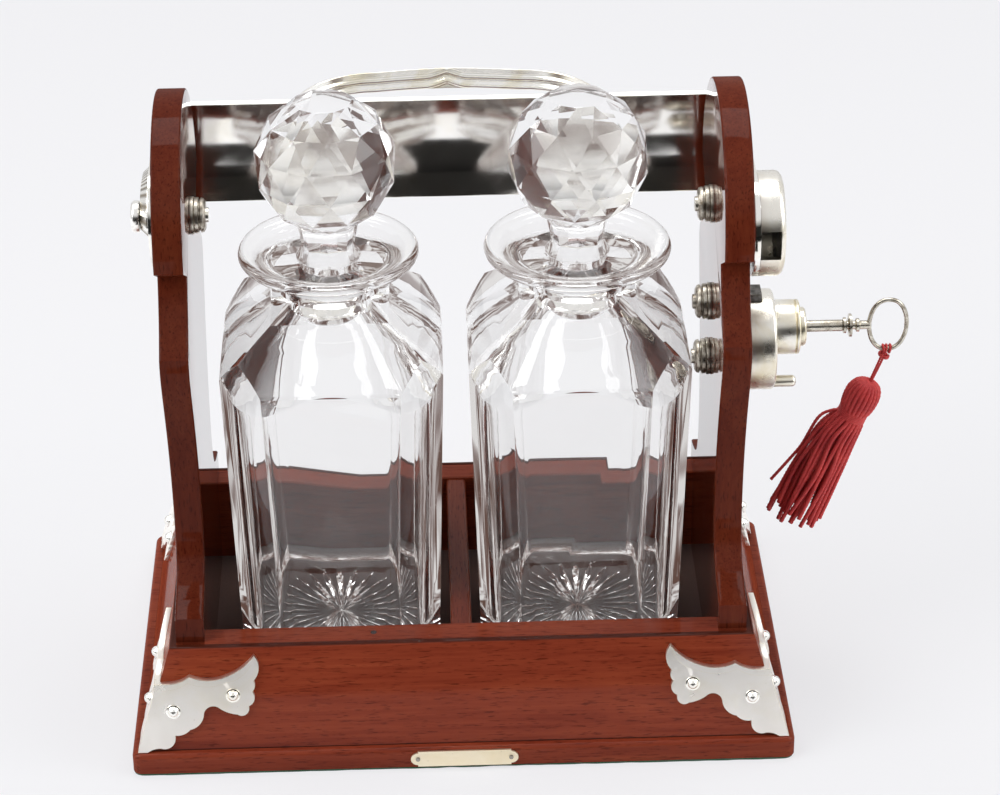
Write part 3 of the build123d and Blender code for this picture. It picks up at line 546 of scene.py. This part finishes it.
def smooth_below(bm, angle):
    """Shade across the edges flatter than the angle, and less readily beside a broad flat face."""
    for face in bm.faces:
        face.smooth = True
    for edge in bm.edges:
        edge.smooth = False
        if len(edge.link_faces) == 2:
            broad = max(face.calc_area() for face in edge.link_faces) > BROAD_FACE
            edge.smooth = edge.calc_face_angle(0) < (min(angle, BROAD_ANGLE) if broad else angle)


def refine(material, slot, width, *nodes, worn=None):
    """Stand a smooth-shaded copy with worn edges in for each node, riding on the node's body."""
    pieces = []
    for node in nodes:
        bm = merged_copy(node)
        if width:
            wear_edges(bm, width, WORN_CREASE)
        smooth_below(bm, SMOOTH_ANGLE)
        finishes = (material, worn or material) if width else (material,)
        body = body_of(frame["nodes"][node])[0]
        piece = new_piece(bm, f"{node}_dressed", body, *finishes)
        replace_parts(piece, node)
        pieces.append(piece)
    return pieces


# ---------------------------------------------------------------- wood and cloth
SATIN = 0.25                  # how much coat there is on the board, the tray's sides and the rails,
HANDLED = 0.15                # on the uprights' edges,
POLISHED = 0.95               # and on their broad faces
BROAD_SIDE = 0.9              # how squarely such a face looks sideways
POSTS = (                     # side, lightness, and where in the grain it was cut
    ("left", 0.40, (0.5, 0.4, 0.2)),
    ("right", 0.48, (0.1, 0.8, 0.6)),
)
RAIL_PLUG_PLACE = -35.7 * MM  # along the rail
RAIL_PLUG_RADIUS = 1.3 * MM
RAIL_PLUG_DEPTH = 0.46 * MM
RAIL_PLUG_PROUD = 0.03 * MM

BAIZE_CORNER = 4 * MM
BAIZE_INSET = 0.1 * MM
BAIZE_STRAY = 0.45 * MM       # how far the cloth's cut edge wanders
BAIZE_STRAYS = 160            # waves of that in a metre along the edge,
BAIZE_FRAY = 400              # and up it
BAIZE_CLEAR = 0.02 * MM       # between the cloth's face and the board
BAIZE_STEP = 1.5 * MM


def add_baize(material):
    """The green cloth under the board, trimmed by hand almost flush with its edge."""
    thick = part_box("baize_pad")[1][2]
    low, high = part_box("plinth")
    outline = []
    corners = ((high[0], high[1]), (low[0], high[1]), (low[0], low[1]), (high[0], low[1]))
    for turn, (x, y) in enumerate(corners):
        centre = Vector((x - BAIZE_CORNER * np.sign(x), y - BAIZE_CORNER * np.sign(y), 0))
        for angle in np.linspace(turn * pi / 2, (turn + 1) * pi / 2, 7):
            outline.append(centre + BAIZE_CORNER * Vector((cos(angle), sin(angle), 0)))
    path = even_path(outline + outline[:1], BAIZE_STEP)[:-1]
    bm = bmesh.new()
    rings = []
    for level in (0.0, thick - BAIZE_CLEAR):
        ring = []
        for point in path:
            place = point * BAIZE_STRAYS + Vector((0, 0, level * BAIZE_FRAY))
            stray = BAIZE_STRAY * (0.5 + noise.noise(place))
            inward = -point.normalized() * (BAIZE_INSET + max(0.0, stray))
            ring.append(bm.verts.new((point.x + inward.x, point.y + inward.y, level)))
        rings.append(ring)
    for k in range(len(path)):
        after = (k + 1) % len(path)
        bm.faces.new((rings[0][k], rings[0][after], rings[1][after], rings[1][k]))
    bm.faces.new(rings[0][::-1])
    bm.faces.new(rings[1])
    baize = piece_from(bm, "baize_cloth", material, "frame", soft=False)
    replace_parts(baize, "baize_pad")


def add_rail_plug():
    """The dark end of a wooden plug, flush in the top of the front rail."""
    low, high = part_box("front_rail")
    bm = bmesh.new()
    height = high[2] + RAIL_PLUG_PROUD - RAIL_PLUG_DEPTH / 2
    centre = Vector((RAIL_PLUG_PLACE, (low[1] + high[1]) / 2, height))
    bmesh.ops.create_cone(bm, cap_ends=True, segments=20, radius1=RAIL_PLUG_RADIUS,
                          radius2=RAIL_PLUG_RADIUS, depth=RAIL_PLUG_DEPTH,
                          matrix=Matrix.Translation(centre))
    plug = piece_from(bm, "rail_plug", mahogany("mahogany_plug", "z", 0.12), "frame", soft=False)


def dress_posts():
    """The uprights: their edges dull with handling, their broad faces polished."""
    for side, light, shift in POSTS:
        edge = mahogany(f"mahogany_{side}_edge", "z", light, shift, HANDLED)
        face = mahogany(f"mahogany_{side}_face", "z", light, shift, POLISHED)
        post = refine(edge, "mahogany", 0, f"{side}_upright")[0]
        post.data.materials.append(face)
        for polygon in post.data.polygons:
            polygon.material_index = int(abs(polygon.normal.x) > BROAD_SIDE)


def dress_frame():
    """The board, the tray, the uprights and the two cloths."""
    wood = "mahogany"
    # the moulding's foot and top, where lines of painted shade darken the joints
    joints = [end[2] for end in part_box("front_moulding")]
    board = mahogany("mahogany_board", "x", 0.92, gloss=SATIN)
    refine(board, wood, 0, "plinth")
    front = mahogany("mahogany_front", "x", 0.97, (0.3, 0.1, 0.4), SATIN, joints)
    refine(front, wood, 0, "front_moulding", "back_moulding")
    side = mahogany("mahogany_side", "y", 0.95, (0.7, 0.2, 0.1), SATIN, joints)
    refine(side, wood, 0, "left_moulding", "right_moulding")
    rail = mahogany("mahogany_rail", "x", 0.85, (0.1, 0.6, 0.2), SATIN)
    refine(rail, wood, 0, "front_rail", "back_rail")
    refine(mahogany("mahogany_floor", "x", 0.5), wood, 0, "tray_floor")
    divider = mahogany("mahogany_divider", "y", 0.6, (0.2, 0.9, 0.3), 0.4)
    refine(divider, wood, 0.4 * MM, "divider")
    dress_posts()
    add_rail_plug()
    add_baize(felt("green_baize", (0.03, 0.13, 0.06), (0.012, 0.05, 0.025)))
    lining = felt("brown_lining", (0.10, 0.045, 0.03), (0.05, 0.02, 0.014))
    refine(lining, "brown_lining", 0, "tray_lining")


# ---------------------------------------------------------------- metal
WORN_BRASS = (0.62, 0.58, 0.50)
HANDLE_ROLLS = ((-3.1, 1.5, 1.5), (0.9, 1.3, 1.0))   # height in the bar, half width, rise, in mm
HANDLE_FLANGE = 0.25          # mm that the flat between them stands proud of the middle line
HANDLE_CUSP = 2.6             # mm that the rolls rise at the middle of the bar
HANDLE_CUSP_REACH = 9.0
HANDLE_LEG = 65.0             # the strap's middle line: its legs, and the outside of its bar, in mm
HANDLE_TOP = 126.0
HANDLE_CROWN = 3.5
HANDLE_CORNER = 34.0
HANDLE_HALF_WIDTH = 4.7
HANDLE_BACK = 2.1
HANDLE_EDGE = 0.4
HANDLE_FOOT_KEPT = 4.5 * MM


def dress_plate():
    """Silver plate, creamier on the brackets and yellow where its edges are rubbed."""
    plate = "silver_plate"
    cream = silver_plate("silver_bracket", 0.34, 0.35, (0.95, 0.915, 0.86), (0.86, 0.77, 0.56))
    rubbed = silver_plate("rubbed_edge", 0.3, 0.8, (0.88, 0.81, 0.60), (0.60, 0.50, 0.30))
    corners = [f"{end}_{side}_bracket" for end in ("front", "back") for side in ("left", "right")]
    refine(cream, plate, 0.4 * MM, *corners, worn=rubbed)
    gilt = silver_plate("gilt_plaque", 0.36, 0.6, (0.88, 0.80, 0.62), (0.78, 0.67, 0.42))
    refine(gilt, plate, 0.3 * MM, "name_plate", worn=rubbed)
    band = silver_plate("silver_band", 0.10, 0.45)
    refine(band, plate, 0.3 * MM, "yoke_band", "left_arm", "right_arm")
    boss_centre = sum((Vector(end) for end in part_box("left_boss")), Vector()) / 2
    refine(chased_silver("silver_chased", boss_centre), plate, 0.4 * MM, "left_boss")
    strap = silver_plate("silver_handle", 0.20, 1.0)
    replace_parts(add_handle(strap), "handle")
    add_handle_feet(strap)
    lock = silver_plate("silver_lock", 0.28, 0.9, (0.88, 0.85, 0.78), (0.74, 0.66, 0.46))
    lock_parts = ("hasp_housing", "lock_case", "lock_barrel", "lock_collar", "lock_peg")
    refine(lock, plate, 0.3 * MM, *lock_parts, worn=rubbed)


def dress_fixings():
    """Screws, pins, washers and nuts, the bolt and the key."""
    screw = "plated_screw"
    refine(silver_plate("silver_screw", 0.14, 0.3), screw, 0.1 * MM, "bracket_screws")
    refine(silver_plate("silver_stud", 0.2, 0.6), screw, 0.3 * MM, "left_pivot_stud")
    pin = metal("dull_pin", (0.36, 0.34, 0.30), (0.16, 0.14, 0.12), 0.35)
    refine(pin, screw, 0.05 * MM, "name_plate_pins")
    nut = metal("worn_nut", WORN_BRASS, (0.20, 0.16, 0.12), 0.3, 260)
    turned = ("right_pivot_pin", "pivot_washers", "pivot_nuts",
              "lock_studs", "lock_washers", "lock_nuts")
    refine(nut, "dark_brass", 0.3 * MM, *turned)
    bolt = metal("dark_steel", (0.16, 0.15, 0.14), (0.05, 0.045, 0.04), 0.3)
    refine(bolt, "dark_steel", 0.2 * MM, "lock_bolt")
    steel = metal("key_steel", WORN_BRASS, (0.30, 0.26, 0.20), 0.25)
    refine(steel, "key_steel", 0.1 * MM, "key_shank")
    add_bow(steel)


def add_bow(material):
    """The key's oval bow in round wire, a little flattened at its sides."""
    low, high = (Vector(corner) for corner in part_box("key_bow"))
    centre = (low + high) / 2
    wire = (high.y - low.y) / 2
    half_width = (high.x - low.x) / 2 - wire
    half_height = (high.z - low.z) / 2 - wire
    loop = []
    for a in np.linspace(0, 2 * pi, 64, endpoint=False):
        across = np.sign(cos(a)) * abs(cos(a)) ** 0.86
        loop.append(centre + Vector((half_width * across, 0, half_height * sin(a))))
    bm = bmesh.new()
    add_tube(bm, loop, wire, round_section, closed=True)
    bow = piece_from(bm, "key_bow_drawn", material, "key")
    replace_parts(bow, "key_bow")


def handle_section(x):
    """The strap's inner side across its width: a flat flange over two rolls, cusped at x = 0."""
    lift = HANDLE_CUSP * max(0.0, 1 - abs(x) / HANDLE_CUSP_REACH) ** 1.6
    profile = []
    for height in np.linspace(-HANDLE_HALF_WIDTH, HANDLE_HALF_WIDTH, 29):
        proud = HANDLE_FLANGE
        for place, half, rise in HANDLE_ROLLS:
            near = (height - place - lift) / half
            if abs(near) < 1:
                proud = max(proud, rise * sqrt(1 - near * near))
        profile.append((height, proud))
    return profile


def handle_route(foot):
    """The strap's middle line from one foot to the other, in mm across and back."""
    leg, corner = HANDLE_LEG, HANDLE_CORNER
    shoulder = HANDLE_TOP - corner - HANDLE_CROWN
    route = [(leg, foot + 2.5), (leg, foot + 12), (leg, shoulder)]
    for turn in np.linspace(0, pi / 2, 12)[1:]:
        route.append((leg - corner * (1 - cos(turn)), shoulder + corner * sin(turn)))
    for x in np.linspace(leg - corner, 0, 25)[1:]:
        route.append((x, HANDLE_TOP - HANDLE_CROWN * (x / (leg - corner)) ** 1.5))
    return route + [(-x, y) for x, y in route[-2::-1]]


def add_handle_feet(material):
    """The two oval feet that the bail stands on, cut from its CAD form."""
    bm = merged_copy("handle")
    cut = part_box("handle")[0][1] + HANDLE_FOOT_KEPT
    everything = bm.verts[:] + bm.edges[:] + bm.faces[:]
    done = bmesh.ops.bisect_plane(bm, geom=everything, plane_co=(0, cut, 0),
                                  plane_no=(0, 1, 0), clear_outer=True)
    rims = [edge for edge in done["geom_cut"] if isinstance(edge, bmesh.types.BMEdge)]
    bmesh.ops.holes_fill(bm, edges=rims)
    smooth_below(bm, SMOOTH_ANGLE)
    bmesh.ops.recalc_face_normals(bm, faces=bm.faces)
    feet = new_piece(bm, "handle_feet", "yoke", material)


def add_handle(material):
    """The bail as a moulded strap: plain outside, with two rolled reeds inside that meet in a cusp."""
    low, high = (Vector(corner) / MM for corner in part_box("handle"))
    middle = (low.z + high.z) / 2
    route = handle_route(low.y)
    bm = bmesh.new()
    rings = []
    for n, (x, y) in enumerate(route):
        before = Vector(route[max(0, n - 1)])
        after = Vector(route[min(len(route) - 1, n + 1)])
        along = (after - before).normalized()
        inward = Vector((-along.y, along.x))
        ring = []
        for height, proud in handle_section(x):
            ring.append((inward * proud, height))
        for height in np.linspace(HANDLE_HALF_WIDTH, -HANDLE_HALF_WIDTH, 11):
            round_off = 1 - (height / HANDLE_HALF_WIDTH) ** 4
            ring.append((-inward * (HANDLE_EDGE + HANDLE_BACK * round_off), height))
        points = (Vector((x + side.x, y + side.y, middle + height)) for side, height in ring)
        rings.append([bm.verts.new(MM * point) for point in points])
    for first, second in zip(rings, rings[1:]):
        for k in range(len(first)):
            after = (k + 1) % len(first)
            bm.faces.new((first[k], first[after], second[after], second[k]))
    bm.faces.new(rings[0][::-1])
    bm.faces.new(rings[-1])
    strap = piece_from(bm, "handle_strap", material, "yoke")
    return strap


# ---------------------------------------------------------------- glass
GLASS_EDGE = 0.6 * MM         # how wide the polish has worn the cut edges
GLASS_CREASE = radians(14)
GLASS_SMOOTH = radians(12)
GLASS_TINT = (0.985, 0.985, 0.982)
GLASS_IOR = 1.49
GLASS_RAY_DEPTH = 8.5         # a ray is spent after more bounces than this in all,
GLASS_REFLECTIONS = 2.5       # or after more reflections than this
# painted light that a spent ray sees in place of the glass's internal reflections, by stops of a ramp
GLASS_PAINTED_REFLECTION = ((0.40, (0.13, 0.075, 0.06)), (0.50, (0.38, 0.33, 0.32)), (0.60, (0.74, 0.72, 0.71)))
GLASS_STREAKS = (150, 150, 24)      # waves in a metre along each axis of the painted reflection's streaks
SHOULDER_START = 0.1525       # height of the line where a decanter's shoulders begin
SHOULDER_END = 0.1745         # and where they run into the neck
SHOULDER_SLOPE = radians(46)
SHOULDER_SWELL = 3.2 * MM     # how far they bow out
STAR_RAYS = 28
STAR_RADIUS = 34 * MM
STAR_DEPTH = 1.7 * MM
STAR_STEPS = 8                # places across each ray
STAR_RINGS = (0.8, 2.5, 5, 8, 12, 16, 20, 24, 28, 31, 34)     # mm


def cut_glass(name):
    """Clear glass, in which a spent ray ends in a glow of painted grey, brown and white streaks, a
    painted stand-in for its internal reflections, and never in black.
    """
    material, nodes = new_material(name)
    glass = nodes.add("ShaderNodeBsdfPrincipled", {
        "Base Color": GLASS_TINT,
        "Roughness": 0.0,
        "IOR": GLASS_IOR,
        "Transmission Weight": 1.0,
    })
    path = nodes.add("ShaderNodeLightPath").outputs
    long_way = nodes.math("GREATER_THAN", path["Ray Depth"], GLASS_RAY_DEPTH)
    thrown = nodes.math("GREATER_THAN", path["Glossy Depth"], GLASS_REFLECTIONS)
    spent = nodes.math("MAXIMUM", long_way, thrown)
    # painted reflection: the glass glows with streaked colour where a ray is spent
    deep = nodes.ramp(nodes.noise(nodes.place(scale=GLASS_STREAKS), 1.0, 1, 0.5), *GLASS_PAINTED_REFLECTION)
    glow = nodes.add("ShaderNodeEmission", {"Color": deep, "Strength": 1.0})
    mixed = nodes.add("ShaderNodeMixShader", {0: spent, 1: glass.outputs[0], 2: glow.outputs[0]})
    finish_material(nodes, mixed)
    return material


def star_lift(radius, angle):
    """How deep the cut star goes into the base at a place under it."""
    step = 2 * pi / STAR_RAYS
    across = abs((angle + step / 2) % step - step / 2) / (step / 2)
    width = min(1.0, 0.18 + 0.82 * (1 - radius / STAR_RADIUS) ** 0.8)
    deep = min(1.0, 2.6 * (1 - radius / STAR_RADIUS)) * min(1.0, 0.25 + radius / (9 * MM))
    return STAR_DEPTH * deep * max(0.0, 1 - across / width)


def cut_star(bm, centre):
    """Replace the flat foot with a fan of sharp grooves that meet in the middle."""
    foot = min(v.co.z for v in bm.verts)
    down = [f for f in bm.faces if f.normal.z < -0.99]
    flat = [f for f in down if abs(f.calc_center_median().z - foot) < 0.02 * MM]
    outline = {e for f in flat for e in f.edges if sum(g in flat for g in e.link_faces) == 1}
    bmesh.ops.delete(bm, geom=flat, context="FACES_ONLY")
    turns = STAR_RAYS * STAR_STEPS
    rings = []
    for radius in (MM * r for r in STAR_RINGS):
        ring = []
        for k in range(turns):
            angle = 2 * pi * k / turns
            height = foot + star_lift(radius, angle)
            ring.append(bm.verts.new((centre + radius * cos(angle), radius * sin(angle), height)))
        rings.append(ring)
    middle = bm.verts.new((centre, 0, foot + 0.2 * STAR_DEPTH))
    for k in range(turns):
        after = (k + 1) % turns
        bm.faces.new((middle, rings[0][k], rings[0][after]))
        for low, high in zip(rings, rings[1:]):
            bm.faces.new((low[k], high[k], high[after], low[after]))
    rim = [bm.edges.get((rings[-1][k], rings[-1][(k + 1) % turns])) for k in range(turns)]
    bmesh.ops.triangle_fill(bm, edges=list(outline) + rim, use_beauty=True)
    bmesh.ops.recalc_face_normals(bm, faces=bm.faces)


def swell_shoulders(bm, low, high):
    """Bow the four flat shoulders outwards, most of all close to their outer edge."""
    centre = (low[0] + high[0]) / 2
    half = (high[0] - low[0]) / 2
    for height in np.linspace(SHOULDER_START + 0.5 * MM, SHOULDER_END, 9):
        everything = bm.verts[:] + bm.edges[:] + bm.faces[:]
        bmesh.ops.bisect_plane(bm, geom=everything, plane_co=(0, 0, height),
                               plane_no=(0, 0, 1), dist=0.01 * MM)
    for vert in bm.verts:
        out = max(abs(vert.co.x - centre), abs(vert.co.y))
        surface = SHOULDER_START + (half - out) * tan(SHOULDER_SLOPE)
        share = (vert.co.z - SHOULDER_START) / (SHOULDER_END - SHOULDER_START)
        if abs(vert.co.z - surface) < 0.1 * MM and 0 < share < 1:
            vert.co.z += SHOULDER_SWELL * sin(pi * share ** 0.7)


def glass_piece(node, material, body, decanter):
    """A decanter, with its shoulders swelled and its foot cut, or a stopper."""
    bm = merged_copy(node)
    low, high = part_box(node)
    if decanter:
        swell_shoulders(bm, low, high)
    wear_edges(bm, GLASS_EDGE if decanter else 0.35 * GLASS_EDGE, GLASS_CREASE)
    for face in bm.faces:
        face.material_index = 0
    if decanter:
        cut_star(bm, (low[0] + high[0]) / 2)
    smooth_below(bm, GLASS_SMOOTH)
    piece = new_piece(bm, f"{node}_cut", body, material)
    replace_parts(piece, node)


def add_glass():
    """Both decanters and both stoppers."""
    material = cut_glass("cut_glass")
    for side in ("left", "right"):
        glass_piece(f"{side}_decanter", material, f"{side}_bottle", True)
        glass_piece(f"{side}_stopper", material, f"{side}_plug", False)


# ---------------------------------------------------------------- tassel
TASSEL_LEAN = radians(21.5)
TASSEL_DOWN = Vector((-sin(TASSEL_LEAN), 0, -cos(TASSEL_LEAN)))
TASSEL_SIDE = Vector((cos(TASSEL_LEAN), 0, -sin(TASSEL_LEAN)))
BOW_WIRE_BOTTOM = Vector(JOINTS["tassel_hang"]["pos_m"])
WIRE_TO_TASSEL = 16 * MM
TASSEL_TOP = Vector([round(v, 6) for v in BOW_WIRE_BOTTOM + WIRE_TO_TASSEL * TASSEL_DOWN])

CORD_DIAMETER = 1.2 * MM
CORD_HEAD_GAP = 0.9 * MM      # half the gap between the two cords at the head,
CORD_WIRE_GAP = 1.65 * MM     # and where they go over the wire
CORD_SUNK = 0.5 * MM          # how far the cords reach down into the head
CORD_STRAIGHT = 2.6 * MM      # how far below the wire they turn to go round it

# a thread's line from the tassel's crown to its end: how far down the tassel it is, the middle of
# the bundle there, and the bundle's half width and half depth, in mm
THREAD_LINE = (
    (0.6, 0.0, 1.2, 1.2),
    (2.2, -0.1, 4.6, 4.6),
    (5.5, -0.3, 6.3, 6.3),
    (9.5, -0.4, 6.5, 6.5),
    (13.5, -0.5, 5.9, 5.9),
    (16.8, -0.7, 4.9, 4.9),
    (20.5, -1.6, 6.4, 5.6),
    (29.0, -2.9, 8.3, 6.4),
    (46.0, -3.6, 9.6, 7.6),
    (69.0, -4.2, 10.6, 8.4),
)
THREAD_LAYERS = ((22, 1.0), (15, 0.68), (8, 0.36))   # threads, and their share of the bundle's width
THREAD_RADIUS = 1.05 * MM
THREAD_END_SPREAD = 4.5       # mm that the ends differ by, each way
THREAD_STEP = 0.55 * MM
THREAD_PITCH = 3.4 * MM
STRAY_THREAD = (              # down, aside and to the front
    (16.8, -5.3, 0), (19.0, -9.0, -1), (24.3, -12.6, -1.5),
    (38.7, -13.6, -2), (47, -15.6, -2), (58.4, -19.3, -1),
)
BINDING_DOWN = 16.6
BINDING_TURNS = 5
BINDING_STEPS = 28            # in each turn
MOULD = ((2.0, 3.6), (4.0, 5.2), (7.0, 5.9), (10.0, 5.8), (13.0, 5.2), (16.0, 4.4))  # down, radius
MOULD_SIDES = 20


def in_tassel(down, side, front=0.0):
    """A point by its distances down the tassel, across it and towards the front, in mm."""
    aside = float(down) * TASSEL_DOWN + float(side) * TASSEL_SIDE - Vector((0, float(front), 0))
    return TASSEL_TOP + MM * aside


def silk(name):
    """Crimson mercerised thread: deep red in the folds, paler where it stands up to the light."""
    material, nodes = new_material(name)
    here = nodes.place()
    fibre = nodes.noise(here, 2600, 3, 0.6)
    cloud = nodes.noise(here, 130, 3, 0.6)
    colour = nodes.mix(nodes.level(cloud, 0.35, 0.65), (0.45, 0.020, 0.023), (0.62, 0.045, 0.040))
    fuzz = nodes.math("MULTIPLY", nodes.level(fibre, 0.5, 0.75), 0.35)
    colour = nodes.mix(fuzz, colour, (0.72, 0.12, 0.10))
    bsdf = nodes.add("ShaderNodeBsdfPrincipled", {
        "Base Color": colour,
        "Roughness": 0.62,
        "Sheen Weight": 0.25,
        "Sheen Roughness": 0.4,
        "Sheen Tint": (1.0, 0.45, 0.45),
        "Normal": nodes.bump(fibre, 0.00008, 0.8),
    })
    finish_material(nodes, bsdf)
    return material


def thread_path(draw, start, angle, layer):
    """A thread of one layer from the given stage of THREAD_LINE to its ragged end."""
    points = []
    last = len(THREAD_LINE) - 1
    trim = draw.uniform(-THREAD_END_SPREAD, THREAD_END_SPREAD)
    for n, (down, middle, half_width, half_depth) in enumerate(THREAD_LINE):
        if n < start:
            continue
        loose = max(0.0, down - BINDING_DOWN) / 50
        wander = draw.normal(0, 0.55, 2) * min(loose * 2.5, 1)
        turn = angle + draw.normal(0, 0.10) * loose
        side = middle + layer * half_width * cos(turn) + wander[0]
        front = layer * half_depth * sin(turn) + wander[1]
        if n == last:
            down += trim
        points.append(in_tassel(down, side, front))
    return even_path(smooth_path(points, 8), THREAD_STEP)


def add_tassel_threads(material):
    """Threads over the mould and down past the binding, with shorter ones inside them."""
    draw = np.random.default_rng(7)
    section = twisted(THREAD_PITCH)
    binding = BINDING_DOWN * MM
    head = bmesh.new()
    skirt = bmesh.new()
    for count, layer in THREAD_LAYERS:
        start = 0 if layer == 1.0 else 5
        for k in range(count):
            angle = 2 * pi * (k + 0.5 * layer) / count
            path = thread_path(draw, start, angle, layer)
            split = [n for n, p in enumerate(path) if (p - TASSEL_TOP).dot(TASSEL_DOWN) < binding]
            if len(split) > 3:
                add_tube(head, path[:split[-1] + 2], THREAD_RADIUS, section)
                path = path[split[-1]:]
            add_tube(skirt, path, THREAD_RADIUS, section)
    stray = even_path(smooth_path([in_tassel(*p) for p in STRAY_THREAD], 8), THREAD_STEP)
    add_tube(skirt, stray, 0.75 * THREAD_RADIUS, section)
    turns = np.linspace(0, 2 * pi, 16, endpoint=False)
    crown = [in_tassel(0.9 + 0.2 * sin(a), 1.1 * cos(a), 1.1 * sin(a)) for a in turns]
    add_tube(head, crown, 0.8 * THREAD_RADIUS, section, closed=True)
    add_mould(head)
    return (piece_from(head, "tassel_threads_head", material, "tassel"),
            piece_from(skirt, "tassel_threads", material, "tassel"))


def add_mould(bm):
    """The padded core under the head's threads."""
    rings = []
    for down, radius in MOULD:
        ring = []
        for k in range(MOULD_SIDES):
            angle = 2 * pi * k / MOULD_SIDES
            place = in_tassel(down, -0.3 + radius * cos(angle), radius * sin(angle))
            ring.append(bm.verts.new(place))
        rings.append(ring)
    for low, high in zip(rings, rings[1:]):
        for k in range(MOULD_SIDES):
            after = (k + 1) % MOULD_SIDES
            bm.faces.new((low[k], low[after], high[after], high[k]))
    bm.faces.new(rings[0][::-1])
    bm.faces.new(rings[-1])


def add_binding(material):
    """A few close turns of thread round the tassel's neck."""
    path = []
    for n in range(BINDING_TURNS * BINDING_STEPS + 1):
        turns = n / BINDING_STEPS
        angle = 2 * pi * turns
        down = BINDING_DOWN - 1.6 + 0.75 * turns + 0.5 * cos(angle)
        path.append(in_tassel(down, -0.7 + 5.9 * cos(angle), 5.8 * sin(angle)))
    bm = bmesh.new()
    add_tube(bm, path, 0.55 * MM, twisted(1.8 * MM))
    return piece_from(bm, "tassel_binding", material, "tassel")


def add_hitch(material):
    """The loop that draws tight round the wire: a turn each side of the cords and one across."""
    bm = bmesh.new()
    section = twisted(2.2 * MM)
    for side in (-1, 1):
        loop = []
        for a in np.linspace(0, 2 * pi, 24, endpoint=False):
            spread = side * (1.25 + 0.25 * cos(a))
            loop.append(BOW_WIRE_BOTTOM + MM * Vector((spread, 1.62 * sin(a), 1.62 * cos(a))))
        add_tube(bm, loop, CORD_DIAMETER / 2, section, closed=True)
    collar = []
    for n in range(49):
        a = 2 * pi * n / 24
        collar.append(in_tassel(-13.3 + 0.45 * n / 24, 0.2 + 1.9 * cos(a), 2.5 * sin(a)))
    add_tube(bm, collar, CORD_DIAMETER / 2, section)
    return piece_from(bm, "tassel_hitch", material, "tassel")


def cord_route():
    """The cord's corners: up from the head, over the bow wire and back."""
    below_wire = Vector((-sin(TASSEL_LEAN), 0, -1)) * CORD_STRAIGHT
    up = [
        TASSEL_TOP + Vector((0, -CORD_HEAD_GAP, -CORD_SUNK)),
        BOW_WIRE_BOTTOM + below_wire + Vector((0, -CORD_WIRE_GAP, 0)),
        BOW_WIRE_BOTTOM + Vector((0, -CORD_WIRE_GAP, CORD_WIRE_GAP)),
    ]
    return up + [Vector((point.x, -point.y, point.z)) for point in reversed(up)]


def cord_path():
    """The points along a smooth curve drawn by the cord's route."""
    route = cord_route()
    curve = bpy.data.curves.new("cord_route", "CURVE")
    curve.dimensions = "3D"
    spline = curve.splines.new("NURBS")
    spline.points.add(len(route) - 1)
    for point, place in zip(spline.points, route):
        point.co = (*place, 1)
    spline.order_u = 3
    spline.use_endpoint_u = True
    spline.resolution_u = 16
    holder = bpy.data.objects.new("cord_route", curve)
    line = bpy.data.meshes.new_from_object(holder)
    path = [v.co.copy() for v in line.vertices]
    bpy.data.objects.remove(holder)
    bpy.data.meshes.remove(line)
    return path


def add_tassel():
    """The doubled cord on the key's bow, and the tassel that hangs from it."""
    path = cord_path()
    material = silk("crimson_silk")
    bm = bmesh.new()
    add_tube(bm, even_path(path, 0.3 * MM), CORD_DIAMETER / 2, twisted(2.2 * MM, 0.3))
    cord = piece_from(bm, "tassel_cord_twisted", material, "tassel")
    head, threads = add_tassel_threads(material)
    hitch = add_hitch(material)
    binding = add_binding(material)
    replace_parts(cord, "tassel_cord")
    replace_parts(head, "tassel_head")
    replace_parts(threads, "tassel_skirt")


def main():
    """Set the stage, then dress the part piece by piece."""
    add_camera()
    add_world()
    add_lights()
    add_floor()
    dress_frame()
    dress_plate()
    dress_fixings()
    add_glass()
    add_tassel()


main()
